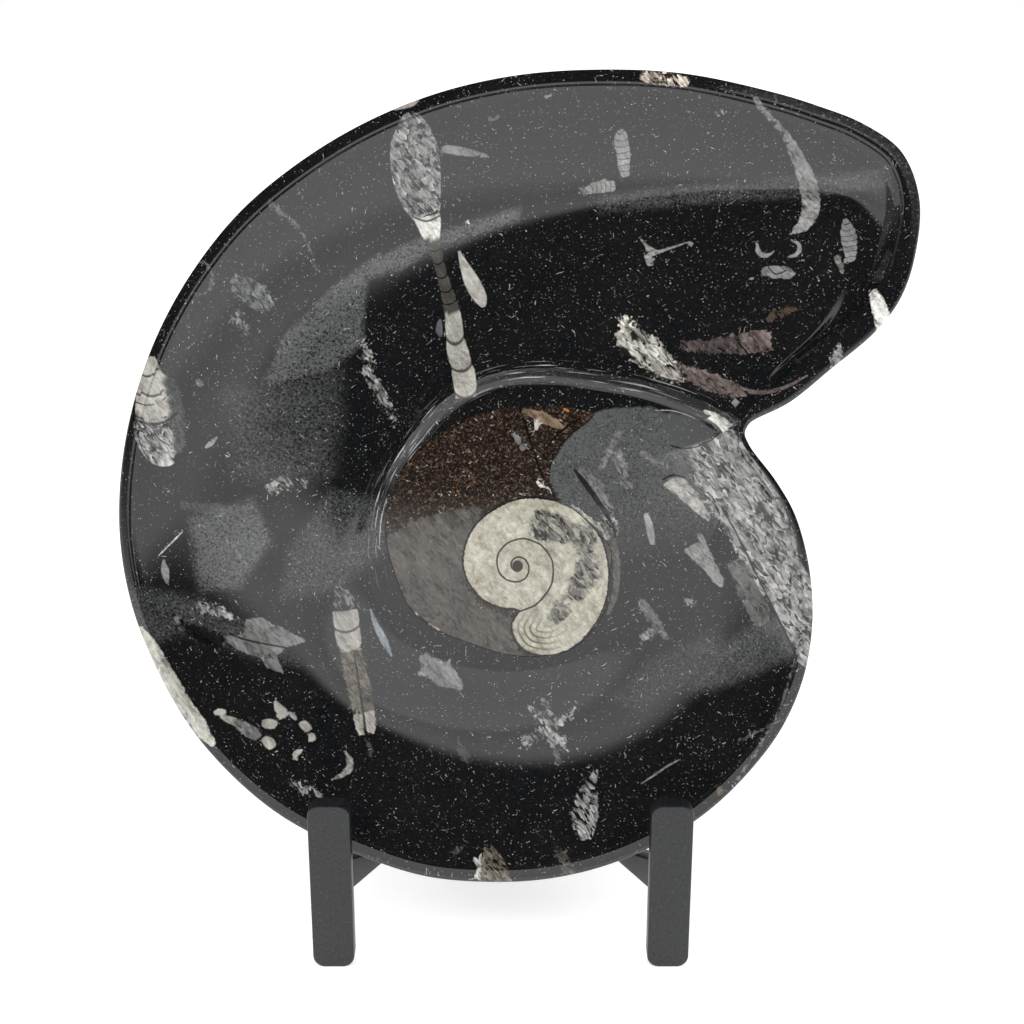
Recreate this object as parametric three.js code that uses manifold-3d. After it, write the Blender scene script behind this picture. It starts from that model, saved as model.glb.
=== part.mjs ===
// A polished dish of black fossil limestone, carved in the shape of an ammonite, with a goniatite
// set in its middle. It leans back on a small dark easel.
// Lengths are in millimetres and angles in degrees. +Z is up and the dish faces -Y.
import * as THREE from "three";
import { mergeVertices } from "three/addons/utils/BufferGeometryUtils.js";
import Module from "manifold-3d";

const wasm = await Module();
wasm.setup();

// ---- Driving dimensions ----

const GLUE_GAP = 0.3; // between pieces that touch

// The dish has a frame of its own: u to the right, v up the dish, w out of its front plane.
const LEAN = 18; // how far the dish leans back
const DISH_HEIGHT = 116.1; // middle of the front plane, above the table
const DISH_THICKNESS = 25;
const EDGE_THICKNESS = 8;
const EDGE_TAPER = 1.5; // the back edge is this much inside the front edge
const BEVEL = 0.8; // along the outer front edge
const LIP_STEP = 1.3; // drop from the flat lip into the hollow
const LIP_STEP_WIDTH = 1.2;

// Outline of the dish (u, v), anticlockwise from the notch below the aperture lobe.
const OUTLINE = [
  [62.3, 21.1], [63.0, 22.9], [64.2, 24.2], [74.1, 29.2], [85.2, 38.1], [97.2, 48.2],
  [103.6, 56.5], [107.5, 67.1], [109.0, 83.3], [104.3, 96.1], [94.1, 103.7], [82.0, 108.5],
  [69.9, 112.2], [46.2, 117.2], [23.0, 118.3], [0.8, 116.7], [-20.2, 111.9], [-39.7, 103.9],
  [-57.3, 93.2], [-72.8, 80.2], [-85.2, 64.7], [-94.7, 47.7], [-101.1, 29.6], [-104.5, 11.1],
  [-104.8, -7.5], [-101.5, -25.5], [-94.8, -42.3], [-86.0, -57.6], [-74.6, -70.7],
  [-61.3, -81.5], [-43.2, -90.7], [-24.0, -97.2], [-7.2, -98.9], [8.7, -98.2], [24.2, -94.8],
  [38.5, -88.9], [51.9, -80.4], [63.1, -69.8], [72.3, -57.5], [78.2, -43.4], [80.4, -28.7],
  [79.4, -14.3], [75.8, -0.9], [70.7, 8.2], [63.6, 17.7],
];
const RAYS_PER_POINT = 3;

// The carving turns round this point of the dish.
const WHORL_CENTRE = new THREE.Vector2(-3.2, 3.2);

// Round the whorl centre: angle, radius of the ridge's crest, depth of the channel outside the
// ridge, height of the crest (0 is the lip), width of the flat lip, the radius at which the dish's
// middle, carried on past the ridge, would come up to the lip, and where the channel is deepest,
// as a share of the way from the crest to the lip.
const WHORL = [
  [16, 68.3, 0, 0, 1.5, 66, 0.6],
  [18, 66.8, 0.3, -0.1, 4.0, 67, 0.6],
  [22, 63.5, 1.4, -0.4, 6.0, 70, 0.66],
  [36, 52.5, 5.0, -0.8, 4.2, 79, 0.76],
  [52, 43.2, 7.4, -1.0, 3.8, 92, 0.72],
  [73, 37.1, 8.2, -1.2, 3.5, 104, 0.58],
  [99, 33.1, 8.2, -1.6, 3.4, 105, 0.42],
  [121, 30.7, 7.8, -2.1, 3.4, 101, 0.27],
  [144, 29.6, 6.9, -2.8, 3.0, 99, 0.2],
  [168, 31.5, 6.2, -3.9, 2.5, 99, 0.21],
  [189, 34.7, 6.2, -5.0, 2.3, 99, 0.27],
  [205, 38.1, 6.8, -6.0, 2.4, 99, 0.38],
  [220, 41.6, 7.2, -6.9, 2.6, 99, 0.46],
  [234, 44.3, 6.4, -7.6, 3.0, 99, 0.47],
  [260, 45.6, 3.8, -8.4, 3.4, 98, 0.4],
  [290, 46.9, 1.6, -9.2, 3.4, 98, 0.36],
  [320, 48.5, 0.4, -12, 3.0, 96, 0.4],
  [345, 53.3, 0.1, -12, 2.0, 89, 0.5],
  [365, 61.9, 0.1, -12, 1.3, 75, 0.6],
  [376, 68.3, 0, 0, 1.5, 66, 0.6],
];
const [CREST_RADIUS, CHANNEL_DEPTH, CREST_HEIGHT, LIP_WIDTH, INNER_RIM, DEEPEST] = [1, 2, 3, 4, 5, 6];

// The middle of the dish is a low dome. It sinks away from this point, from DOME_TOP to DOME_FOOT.
const DOME_CENTRE = new THREE.Vector2(-8.5, 1);
const DOME_TOP = -3;
const DOME_FOOT = -9.5;
const DOME_RADIUS = 62;
const RIM_RISE = 8; // power of the rise from the middle up to the lip: the higher, the steeper
const RIDGE_OUTER_WIDTH = 5;
const RIDGE_INNER_WIDTH = 3;
// The channel's profile is t t (1 - t) / (t t + s s), with s its shoulder. That is largest, at the
// value CHANNEL_PEAK, where t is CHANNEL_PEAK_AT.
const CHANNEL_SHOULDER = 0.25;
const CHANNEL_PEAK = 0.433;
const CHANNEL_PEAK_AT = 0.375;

// Where the rings of the front surface lie: shares of the channel, then of the ridge's radius.
const CHANNEL_RINGS = [0.86, 0.7, 0.54, 0.4, 0.27, 0.16, 0.07, 0];
const INNER_WALL = 2.4; // from the crest down its inner side
const LEAST_CHANNEL = 1.5; // between the crest and the lip, at the notch
const INNER_RINGS = [0.78, 0.52, 0.26];

// Back of the dish: flat out to BACK_FLAT of its radius, then a quarter round up to the edge.
const BACK_RINGS = [0.98, 0.93, 0.85, 0.74, 0.6, 0.46];
const BACK_FLAT = 0.46;

// The goniatite and its brown matrix are one stone, set in a pocket.
const INLAY_OUTLINE = [
  [-33.6, 1.9], [-29.9, 11.2], [-23.2, 18.4], [-16.5, 23.2], [-8.5, 26.7], [0, 28.5], [9, 28.8],
  [18.1, 28.0], [22.1, 26.4], [14.1, 19.2], [10.9, 13.9], [10.1, 8.5], [11.7, 3.2], [16.8, 0.5],
  [23.5, -6.1], [26.7, -10.1], [26.1, -18.1], [24.8, -27.5], [16.8, -36.8], [8.8, -38.9],
  [-0.5, -38.7], [-11.2, -35.5], [-21.9, -30.9], [-27.7, -25.6], [-32.0, -15.5], [-33.9, -7.5],
];
const INLAY_FLOOR = -15;

// The easel: two upright front posts, two side boards that meet in a V, and a rear foot.
const POST_WIDTH = 11;
const POST_HEIGHT = 48.2;
const POST_THICKNESS = 5;
const POST_CORNER = 3.2;
const POST_SPACING = 89.2; // between the middles of the posts
const STAND_MIDDLE = -3; // left of the middle of the dish's front plane
const POST_BACK = -31.7; // back faces of the posts, behind the middle of the front plane
const SOFT_EDGE = 0.45; // worn edges of every piece of the easel

const BOARD_THICKNESS = 5;
const BOARD_SPLAY = 28; // of each side board, from straight back
const BOARD_INNER_FRONT = 39.4; // inner face of a board at the posts, from the stand's middle
const ARM_BOTTOM = 20.8;
const ARM_TOP = 29.95;
const ARM_NECK = 24.8; // top of the arm behind the dish's edge
const LEDGE_SLOPE = 20.5; // of the top of the arm, under the dish's edge
const BOARD_END = 65.7; // behind the posts
const REST_WIDTH = 9.5; // of the leaning back rest, across its grain
const REST_TOP = 101;
const REST_TIP = 3; // corner radius of its tip

const FOOT_WIDTH = 24;
const FOOT_DEPTH = 15;
const FOOT_HEIGHT = 33;
const FOOT_CORNER = 2.5;

const rad = THREE.MathUtils.degToRad;
const sinLean = Math.sin(rad(LEAN));
const cosLean = Math.cos(rad(LEAN));

// ---- Materials ----

const limestone = new THREE.MeshStandardMaterial({ color: 0x16171a, roughness: 0.12, metalness: 0 });
const brownMatrix = new THREE.MeshStandardMaterial({ color: 0x3b2c25, roughness: 0.14, metalness: 0 });
const charcoalPaint = new THREE.MeshStandardMaterial({ color: 0x2a2b2e, roughness: 0.45, metalness: 0 });

// ---- Solids from geometries, and back ----

function solidOf(geometry) {
  const positions = new THREE.BufferGeometry();
  positions.setAttribute("position", geometry.getAttribute("position").clone());
  if (geometry.index) positions.setIndex(geometry.index.clone());
  const merged = mergeVertices(positions, 1e-3);
  return new wasm.Manifold(
    new wasm.Mesh({
      numProp: 3,
      vertProperties: merged.attributes.position.array,
      triVerts: new Uint32Array(merged.index.array),
    }),
  );
}

function geometryOf(solid) {
  const mesh = solid.getMesh();
  const geometry = new THREE.BufferGeometry();
  geometry.setAttribute("position", new THREE.BufferAttribute(mesh.vertProperties, 3));
  geometry.setIndex(new THREE.BufferAttribute(mesh.triVerts, 1));
  geometry.computeVertexNormals();
  return geometry;
}

// ---- The dish ----

// Value of one column of WHORL at an angle: a smooth curve through the rows.
function whorl(angle, column) {
  const span = WHORL.at(-1)[0] - WHORL[0][0];
  let a = angle;
  while (a < WHORL[0][0]) a += span;
  while (a > WHORL.at(-1)[0]) a -= span;
  const k = Math.max(1, WHORL.findIndex((row) => row[0] >= a));
  const [before, left, right, after] = [k - 2, k - 1, k, k + 1].map(
    (i) => WHORL[Math.min(Math.max(i, 0), WHORL.length - 1)],
  );
  const width = right[0] - left[0];
  const slopeLeft = ((right[column] - before[column]) / (right[0] - before[0])) * width;
  const slopeRight = ((after[column] - left[column]) / (after[0] - left[0])) * width;
  const s = (a - left[0]) / width;
  return (
    left[column] * (1 + 2 * s) * (1 - s) ** 2 +
    right[column] * s * s * (3 - 2 * s) +
    slopeLeft * s * (1 - s) ** 2 +
    slopeRight * s * s * (s - 1)
  );
}

// Height of the hollow along one ray from the whorl centre, inside the lip.
function hollowHeight(angle, radius, rimRadius) {
  const crestRadius = Math.min(whorl(angle, CREST_RADIUS), rimRadius);
  const shareAtCrest = Math.min(1, crestRadius / whorl(angle, INNER_RIM));
  const place = (r) =>
    new THREE.Vector2(Math.cos(rad(angle)), Math.sin(rad(angle))).multiplyScalar(r).add(WHORL_CENTRE);
  const acrossChannel = (r) =>
    THREE.MathUtils.clamp((r - crestRadius) / (rimRadius - crestRadius + 1e-6), 0, 1);
  const floorAt = (r) => {
    const fall = 1 - Math.exp(-place(r).distanceToSquared(DOME_CENTRE) / DOME_RADIUS ** 2);
    const share =
      r < crestRadius
        ? (shareAtCrest * r) / crestRadius
        : shareAtCrest + (1 - shareAtCrest) * acrossChannel(r);
    return (DOME_TOP + (DOME_FOOT - DOME_TOP) * fall) * (1 - share ** RIM_RISE);
  };
  const lean = Math.log(CHANNEL_PEAK_AT) / Math.log(whorl(angle, DEEPEST));
  const t = acrossChannel(radius) ** lean;
  const channel = (t * t * (1 - t)) / (t * t + CHANNEL_SHOULDER ** 2) / CHANNEL_PEAK;
  const step = 1;
  const crestTurn = whorl(angle + step, CREST_RADIUS) - whorl(angle - step, CREST_RADIUS);
  const slant = Math.atan2(crestTurn / rad(2 * step), crestRadius);
  const across = (radius - crestRadius) * Math.cos(slant);
  const ridge = Math.max(0, whorl(angle, CREST_HEIGHT) - floorAt(crestRadius));
  const width = across > 0 ? RIDGE_OUTER_WIDTH : RIDGE_INNER_WIDTH;
  const height =
    floorAt(radius) - whorl(angle, CHANNEL_DEPTH) * channel + ridge * Math.exp(-((across / width) ** 2));
  return Math.min(0, height);
}

function backHeight(share) {
  const t = THREE.MathUtils.clamp((share - BACK_FLAT) / (1 - BACK_FLAT), 0, 1);
  return -EDGE_THICKNESS - (DISH_THICKNESS - EDGE_THICKNESS) * Math.sqrt(1 - t * t);
}

// One ray of the dish: its points from the middle of the back, round the edge, to the middle of
// the front, without the two middle points.
function rayPoints(rim, inward) {
  const at = (point, w) => new THREE.Vector3(point.x, point.y, w);
  const inside = (distance) => rim.clone().addScaledVector(inward, distance);
  const backEdge = inside(EDGE_TAPER);
  const backPoints = BACK_RINGS.map((share) => {
    const point = WHORL_CENTRE.clone().lerp(backEdge, share);
    return at(point, backHeight(share));
  }).reverse();
  const rough = rim.clone().sub(WHORL_CENTRE);
  const lip = whorl(THREE.MathUtils.radToDeg(Math.atan2(rough.y, rough.x)), LIP_WIDTH);
  const lipFoot = inside(lip + LIP_STEP_WIDTH).sub(WHORL_CENTRE);
  const angle = THREE.MathUtils.radToDeg(Math.atan2(lipFoot.y, lipFoot.x));
  const outer = lipFoot.length();
  const crest = Math.min(whorl(angle, CREST_RADIUS), outer - LEAST_CHANNEL);
  const radii = [
    ...CHANNEL_RINGS.map((share) => crest + share * (outer - crest)),
    crest - INNER_WALL,
    ...INNER_RINGS.map((share) => share * crest),
  ];
  const hollow = radii.map((radius) => {
    const point = WHORL_CENTRE.clone().addScaledVector(lipFoot, radius / outer);
    return at(point, hollowHeight(angle, radius, outer) - LIP_STEP);
  });
  return [
    ...backPoints,
    at(backEdge, -EDGE_THICKNESS),
    at(rim, -BEVEL),
    at(inside(BEVEL), 0),
    at(inside(lip), 0),
    at(inside(lip + LIP_STEP_WIDTH), -LIP_STEP),
    ...hollow,
  ];
}

function dishSolid() {
  const curve = new THREE.CatmullRomCurve3(
    OUTLINE.map(([u, v]) => new THREE.Vector3(u, v, 0)),
    true,
    "centripetal",
  );
  const count = OUTLINE.length * RAYS_PER_POINT;
  const rays = [];
  for (let i = 0; i < count; i++) {
    const point = curve.getPoint(i / count);
    const tangent = curve.getTangent(i / count);
    rays.push(rayPoints(new THREE.Vector2(point.x, point.y), new THREE.Vector2(-tangent.y, tangent.x)));
  }
  const rings = rays[0].length;
  const back = count * rings;
  const front = back + 1;
  const positions = rays.flat().flatMap((p) => [p.x, p.y, p.z]);
  positions.push(WHORL_CENTRE.x, WHORL_CENTRE.y, -DISH_THICKNESS);
  positions.push(WHORL_CENTRE.x, WHORL_CENTRE.y, hollowHeight(0, 0, 1) - LIP_STEP);
  const index = [];
  for (let i = 0; i < count; i++) {
    const a = i * rings;
    const b = ((i + 1) % count) * rings;
    index.push(back, b, a);
    for (let k = 0; k + 1 < rings; k++) {
      index.push(a + k, b + k, b + k + 1);
      index.push(a + k, b + k + 1, a + k + 1);
    }
    index.push(front, a + rings - 1, b + rings - 1);
  }
  const geometry = new THREE.BufferGeometry();
  geometry.setAttribute("position", new THREE.Float32BufferAttribute(positions, 3));
  geometry.setIndex(index);
  return solidOf(geometry);
}

// A prism over the inlay's outline, grown outwards and downwards by a margin.
function inlayPrism(margin) {
  const points = INLAY_OUTLINE.map(([u, v]) => new THREE.Vector2(u, v));
  const outward = (from, to) => new THREE.Vector2(from.y - to.y, to.x - from.x).normalize();
  const grown = points.map((point, i) => {
    const before = outward(points.at(i - 1), point);
    const after = outward(point, points[(i + 1) % points.length]);
    const mitre = before.clone().add(after).multiplyScalar(1 / (1 + before.dot(after)));
    return point.clone().addScaledVector(mitre, margin);
  });
  const depth = -INLAY_FLOOR + margin;
  const prism = new THREE.ExtrudeGeometry(new THREE.Shape(grown), { depth, bevelEnabled: false });
  prism.translate(0, 0, INLAY_FLOOR - margin);
  return solidOf(prism);
}

function dish(whole) {
  return new THREE.Mesh(geometryOf(whole.subtract(inlayPrism(GLUE_GAP))), limestone);
}

function goniatiteInlay(whole) {
  return new THREE.Mesh(geometryOf(whole.intersect(inlayPrism(0))), brownMatrix);
}

// ---- The easel ----

function softened(shape, thickness) {
  return new THREE.ExtrudeGeometry(shape, {
    depth: thickness - 2 * SOFT_EDGE,
    bevelEnabled: true,
    bevelThickness: SOFT_EDGE,
    bevelSize: SOFT_EDGE,
    bevelOffset: -SOFT_EDGE,
    bevelSegments: 1,
    curveSegments: 4,
  }).translate(0, 0, SOFT_EDGE);
}

function roundedRectangle(width, height, corner) {
  const x = width / 2;
  const y = height / 2;
  const shape = new THREE.Shape();
  shape.absarc(x - corner, y - corner, corner, 0, rad(90));
  shape.absarc(corner - x, y - corner, corner, rad(90), rad(180));
  shape.absarc(corner - x, corner - y, corner, rad(180), rad(270));
  shape.absarc(x - corner, corner - y, corner, rad(270), rad(360));
  return shape;
}

// A front post: an upright slat with rounded corners, its back face at y = 0.
function frontPost() {
  const geometry = softened(roundedRectangle(POST_WIDTH, POST_HEIGHT, POST_CORNER), POST_THICKNESS);
  geometry.rotateX(rad(90));
  geometry.translate(0, 0, POST_HEIGHT / 2);
  return geometry;
}

// The side of a board: the ledge under the dish, the arm behind it and the leaning back rest.
// x is the distance behind the posts, measured along the board, and y is the height.
function boardOutline() {
  const along = (behind) => behind / Math.cos(rad(BOARD_SPLAY));
  const restFront = (z) => {
    const w = -DISH_THICKNESS - GLUE_GAP;
    const v = (z - DISH_HEIGHT - w * sinLean) / cosLean;
    return v * sinLean - w * cosLean - POST_BACK;
  };
  const restBack = (z) => restFront(z) + REST_WIDTH / cosLean;
  const tip = restBack(REST_TOP) - REST_TIP;
  const shape = new THREE.Shape();
  shape.moveTo(along(-6), ARM_BOTTOM);
  shape.lineTo(along(BOARD_END + 6), ARM_BOTTOM);
  shape.lineTo(along(BOARD_END + 6), ARM_TOP);
  shape.lineTo(along(restBack(ARM_TOP) + 6), ARM_TOP);
  shape.quadraticCurveTo(
    along(restBack(ARM_TOP)), ARM_TOP,
    along(restBack(ARM_TOP + 8)), ARM_TOP + 8,
  );
  shape.lineTo(along(restBack(REST_TOP - REST_TIP)), REST_TOP - REST_TIP);
  shape.quadraticCurveTo(along(restBack(REST_TOP)), REST_TOP, along(tip), REST_TOP);
  shape.lineTo(along(restFront(REST_TOP) + REST_TIP), REST_TOP);
  shape.quadraticCurveTo(
    along(restFront(REST_TOP)), REST_TOP,
    along(restFront(REST_TOP - REST_TIP)), REST_TOP - REST_TIP,
  );
  shape.lineTo(along(restFront(ARM_NECK + 6)), ARM_NECK + 6);
  shape.quadraticCurveTo(
    along(restFront(ARM_NECK)), ARM_NECK,
    along(restFront(ARM_NECK) - 6), ARM_NECK,
  );
  const ledge = Math.tan(rad(LEDGE_SLOPE));
  shape.lineTo(along((ARM_TOP - ARM_NECK) / ledge), ARM_NECK);
  shape.lineTo(along(-6), ARM_TOP + 6 * ledge);
  return shape;
}

// A side board on the side of sign (-1 is the left), in the stand's frame: x from the stand's
// middle, y behind the posts. Its ends are cut to meet the post and the rear foot.
function sideBoard(sign) {
  const geometry = softened(boardOutline(), BOARD_THICKNESS);
  geometry.rotateX(rad(90));
  if (sign < 0) geometry.translate(0, BOARD_THICKNESS, 0);
  geometry.rotateZ(rad(90 + sign * BOARD_SPLAY));
  geometry.translate(sign * BOARD_INNER_FRONT, 0, 0);
  const length = BOARD_END - GLUE_GAP;
  const room = new THREE.BoxGeometry(200, length, 300);
  room.translate(0, GLUE_GAP + length / 2, 0);
  return geometryOf(solidOf(geometry).intersect(solidOf(room)));
}

function rearFoot() {
  const geometry = softened(roundedRectangle(FOOT_WIDTH, FOOT_DEPTH, FOOT_CORNER), FOOT_HEIGHT);
  geometry.translate(0, BOARD_END + GLUE_GAP + FOOT_DEPTH / 2, 0);
  return geometry;
}

// ---- The whole ----

function named(mesh, name) {
  mesh.name = name;
  return mesh;
}

const whole = dishSolid();
const leaning = new THREE.Group();
leaning.add(named(dish(whole), "dish"), named(goniatiteInlay(whole), "goniatite_inlay"));
leaning.rotation.x = rad(90 - LEAN);
leaning.position.z = DISH_HEIGHT;

const easel = new THREE.Group();
for (const [side, sign] of [["left", -1], ["right", 1]]) {
  const post = named(new THREE.Mesh(frontPost(), charcoalPaint), "stand_post_" + side);
  post.position.x = (sign * POST_SPACING) / 2;
  easel.add(post, named(new THREE.Mesh(sideBoard(sign), charcoalPaint), "stand_side_" + side));
}
easel.add(named(new THREE.Mesh(rearFoot(), charcoalPaint), "stand_rear_foot"));
easel.position.set(STAND_MIDDLE, POST_BACK, 0);

// The origin is on the table, under the middle of the object's box.
const group = new THREE.Group();
group.add(leaning, easel);
const middle = new THREE.Box3().setFromObject(group, true).getCenter(new THREE.Vector3());
group.children.forEach((child) => child.position.sub(new THREE.Vector3(middle.x, middle.y, 0)));

export default group;
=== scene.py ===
"""An ammonite-shaped dish of polished black fossil limestone, with a goniatite set in its middle,
leaning on a charcoal easel. Lengths are in millimetres and angles in degrees unless a line says
otherwise; the frame and every Blender object are in metres."""

import math

import bmesh
import bpy
import numpy as np
from mathutils import Matrix, Vector


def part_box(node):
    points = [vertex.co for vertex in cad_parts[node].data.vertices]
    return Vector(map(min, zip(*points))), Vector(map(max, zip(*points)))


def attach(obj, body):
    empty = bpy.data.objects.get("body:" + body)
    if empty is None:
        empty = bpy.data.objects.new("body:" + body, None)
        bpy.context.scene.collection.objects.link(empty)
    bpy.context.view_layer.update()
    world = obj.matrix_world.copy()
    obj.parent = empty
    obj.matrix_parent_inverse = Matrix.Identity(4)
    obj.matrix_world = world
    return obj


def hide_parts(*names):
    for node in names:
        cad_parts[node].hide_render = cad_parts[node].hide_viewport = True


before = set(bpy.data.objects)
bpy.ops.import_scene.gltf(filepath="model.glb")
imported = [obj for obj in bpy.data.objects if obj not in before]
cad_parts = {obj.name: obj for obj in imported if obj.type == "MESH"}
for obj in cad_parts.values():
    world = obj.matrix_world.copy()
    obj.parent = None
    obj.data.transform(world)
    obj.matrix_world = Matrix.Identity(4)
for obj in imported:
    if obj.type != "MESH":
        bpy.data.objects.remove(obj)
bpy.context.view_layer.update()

MM = 0.001
LEAN = math.radians(18)
DISH_HEIGHT = 116.1  # middle of the dish's front plane, above the table
STAND_MIDDLE = -3.0  # left of the middle of the front plane
POST_BACK = -31.7  # back faces of the posts, behind the middle of the front plane

post_boxes = [np.array([list(corner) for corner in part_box("stand_post_" + side)]) / MM
              for side in ("left", "right")]
stand_x = np.mean([box[:, 0].mean() for box in post_boxes])
stand_y = np.mean([box[1, 1] for box in post_boxes])

# The dish has a frame of its own: u to the right, v up the dish, w out of its front plane.
RIGHT = np.array([1, 0, 0])
UP = np.array([0, math.sin(LEAN), math.cos(LEAN)])
OUT = np.array([0, -math.cos(LEAN), math.sin(LEAN)])
DISH_AXES = np.array([RIGHT, UP, OUT])
DISH_ORIGIN = np.array([stand_x - STAND_MIDDLE, stand_y - POST_BACK, DISH_HEIGHT])


def to_world(points):
    """Points (u, v, w) of the dish, in the scene's frame in metres."""
    return (DISH_ORIGIN + np.asarray(points, float) @ DISH_AXES) * MM


# ---- Camera: square on to the dish's face ----

CAMERA_DISTANCE = 419.0
CAMERA_LENS = 55.2


def set_camera():
    data = bpy.data.cameras.new("camera")
    data.lens = CAMERA_LENS
    data.sensor_width = 36
    data.clip_start = 0.01
    camera = bpy.data.objects.new("camera", data)
    bpy.context.scene.collection.objects.link(camera)
    place = Vector(to_world([0, 0, CAMERA_DISTANCE]))
    camera.matrix_world = Matrix.LocRotScale(place, Matrix(DISH_AXES).transposed(), None)
    bpy.context.scene.camera = camera


# ---- Form of the dish ----

DISH_THICKNESS = 25
EDGE_THICKNESS = 8
EDGE_TAPER = 1.5
BEVEL = 0.8
LIP_STEP = 1.3
LIP_STEP_WIDTH = 1.2
BACK_FLAT = 0.46  # the flat of the back, as a share of the way out to its edge

# Outline of the dish (u, v), anticlockwise from the notch below the aperture lobe.
OUTLINE = np.array([
    [62.3, 21.1], [63.0, 22.9], [64.2, 24.2], [74.1, 29.2], [85.2, 38.1], [97.2, 48.2],
    [103.6, 56.5], [107.5, 67.1], [109.0, 83.3], [104.3, 96.1], [94.1, 103.7], [82.0, 108.5],
    [69.9, 112.2], [46.2, 117.2], [23.0, 118.3], [0.8, 116.7], [-20.2, 111.9], [-39.7, 103.9],
    [-57.3, 93.2], [-72.8, 80.2], [-85.2, 64.7], [-94.7, 47.7], [-101.1, 29.6], [-104.5, 11.1],
    [-104.8, -7.5], [-101.5, -25.5], [-94.8, -42.3], [-86.0, -57.6], [-74.6, -70.7],
    [-61.3, -81.5], [-43.2, -90.7], [-24.0, -97.2], [-7.2, -98.9], [8.7, -98.2], [24.2, -94.8],
    [38.5, -88.9], [51.9, -80.4], [63.1, -69.8], [72.3, -57.5], [78.2, -43.4], [80.4, -28.7],
    [79.4, -14.3], [75.8, -0.9], [70.7, 8.2], [63.6, 17.7],
])
WHORL_CENTRE = np.array([-3.2, 3.2])

# Round the whorl centre: angle, radius of the ridge's crest, depth of the channel outside it,
# height of the crest (0 is the lip), width of the flat lip, the radius at which the middle of the
# dish, carried on past the ridge, would come up to the lip, and where the channel is deepest, as a
# share of the way from the crest to the lip.
WHORL = np.array([
    [16, 68.3, 0, 0, 1.5, 66, 0.6],
    [18, 66.8, 0.3, -0.1, 4.0, 67, 0.6],
    [22, 63.5, 1.4, -0.4, 6.0, 70, 0.8],
    [36, 52.5, 5.0, -0.8, 4.2, 79, 0.9],
    [52, 43.2, 7.4, -1.0, 3.8, 92, 0.765],
    [73, 37.1, 8.2, -1.2, 3.5, 104, 0.58],
    [99, 33.1, 8.2, -1.6, 3.4, 105, 0.42],
    [121, 30.7, 7.8, -2.1, 3.4, 101, 0.27],
    [144, 29.6, 6.9, -2.8, 3.0, 99, 0.2],
    [168, 31.5, 6.2, -3.9, 2.5, 99, 0.21],
    [189, 34.7, 6.2, -5.0, 2.3, 99, 0.27],
    [205, 38.1, 6.8, -6.0, 2.4, 99, 0.38],
    [220, 41.6, 7.2, -6.9, 2.6, 99, 0.46],
    [234, 44.3, 6.4, -7.6, 3.0, 99, 0.47],
    [260, 45.6, 3.8, -8.4, 3.4, 98, 0.4],
    [290, 46.9, 1.6, -9.2, 3.4, 98, 0.36],
    [320, 48.5, 0.4, -12, 3.0, 96, 0.4],
    [345, 53.3, 0.1, -12, 2.0, 89, 0.5],
    [365, 61.9, 0.1, -12, 1.3, 75, 0.6],
    [376, 68.3, 0, 0, 1.5, 66, 0.6],
])
CREST_RADIUS, CHANNEL_DEPTH, CREST_HEIGHT, LIP_WIDTH, INNER_RIM, DEEPEST = 1, 2, 3, 4, 5, 6
POLISH_WINDOW = 4  # the polisher's wheel evens the carving out over this many degrees
NOTCH_KEPT = 2  # degrees from the notch in which the wheel evens nothing out
NOTCH_BLEND = 8  # degrees over which it begins to

DOME_CENTRE = np.array([-8.5, 1])
DOME_TOP = -3
DOME_FOOT = -9.5
DOME_RADIUS = 62
RIM_RISE = 8  # a higher power keeps the floor flat for longer before it rises to the lip
RIDGE_OUTER_WIDTH = 5
RIDGE_INNER_WIDTH = 1.6
CHANNEL_SHOULDER = 0.25  # how gently it falls away from the crest, as a share of its width
CHANNEL_PEAK = 0.433  # the most that the channel's curve reaches,
CHANNEL_PEAK_AT = 0.375  # and where
LEAST_CHANNEL = 1.5

# How finely the surface is divided.
RAYS_PER_POINT = 16
BACK_SHARES = (0.06, 0.16, 0.3)
FLANK_RINGS = 14
EDGE_SHARES = (0, 0.3, 0.65, 1)
BEVEL_TURNS = (22, 45, 68, 90)
LIP_SHARES = (0.25, 0.5, 0.75, 0.93)
LIP_STEP_SHARES = (0.12, 0.3, 0.5, 0.7, 0.88)
CHANNEL_RINGS = 68
CHANNEL_CROWDING = 1.25  # over 1, the rings crowd towards the ridge's crest
BOSS_RINGS = 44
BOSS_CROWDING = 1.1


def eased(share):
    """A share from 0 to 1 that starts and ends softly."""
    return share * share * (3 - 2 * share)


def whorl_table(step=0.5):
    """WHORL on a fine grid of angles: a smooth curve through its rows, evened out along the
    whorl except close to the notch."""
    angles = np.arange(WHORL[0, 0], WHORL[-1, 0], step)
    rows = WHORL[:, 0]
    k = np.clip(np.searchsorted(rows, angles, side="right"), 1, len(rows) - 1)
    width = rows[k] - rows[k - 1]
    s = (angles - rows[k - 1]) / width
    half = int(POLISH_WINDOW / step)
    wheel = np.hanning(2 * half + 3)[1:-1]
    wheel /= wheel.sum()
    from_notch = np.minimum(angles - rows[0], rows[-1] - angles)
    free = eased(np.clip((from_notch - NOTCH_KEPT) / NOTCH_BLEND, 0, 1))
    columns = [angles]
    for y in WHORL[:, 1:].T:
        slope = np.empty_like(y)
        slope[1:-1] = (y[2:] - y[:-2]) / (rows[2:] - rows[:-2])
        slope[0] = (y[1] - y[0]) / (rows[1] - rows[0])
        slope[-1] = (y[-1] - y[-2]) / (rows[-1] - rows[-2])
        curve = (y[k - 1] * (1 + 2 * s) * (1 - s) ** 2 + y[k] * s * s * (3 - 2 * s)
                 + slope[k - 1] * width * s * (1 - s) ** 2 + slope[k] * width * s * s * (s - 1))
        padded = np.concatenate([curve[-half - 1:], curve, curve[:half + 1]])
        even = np.convolve(padded, wheel, "same")[half + 1:-half - 1]
        columns.append(curve * (1 - free) + even * free)
    return np.array(columns)


FINE_WHORL = whorl_table()


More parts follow.
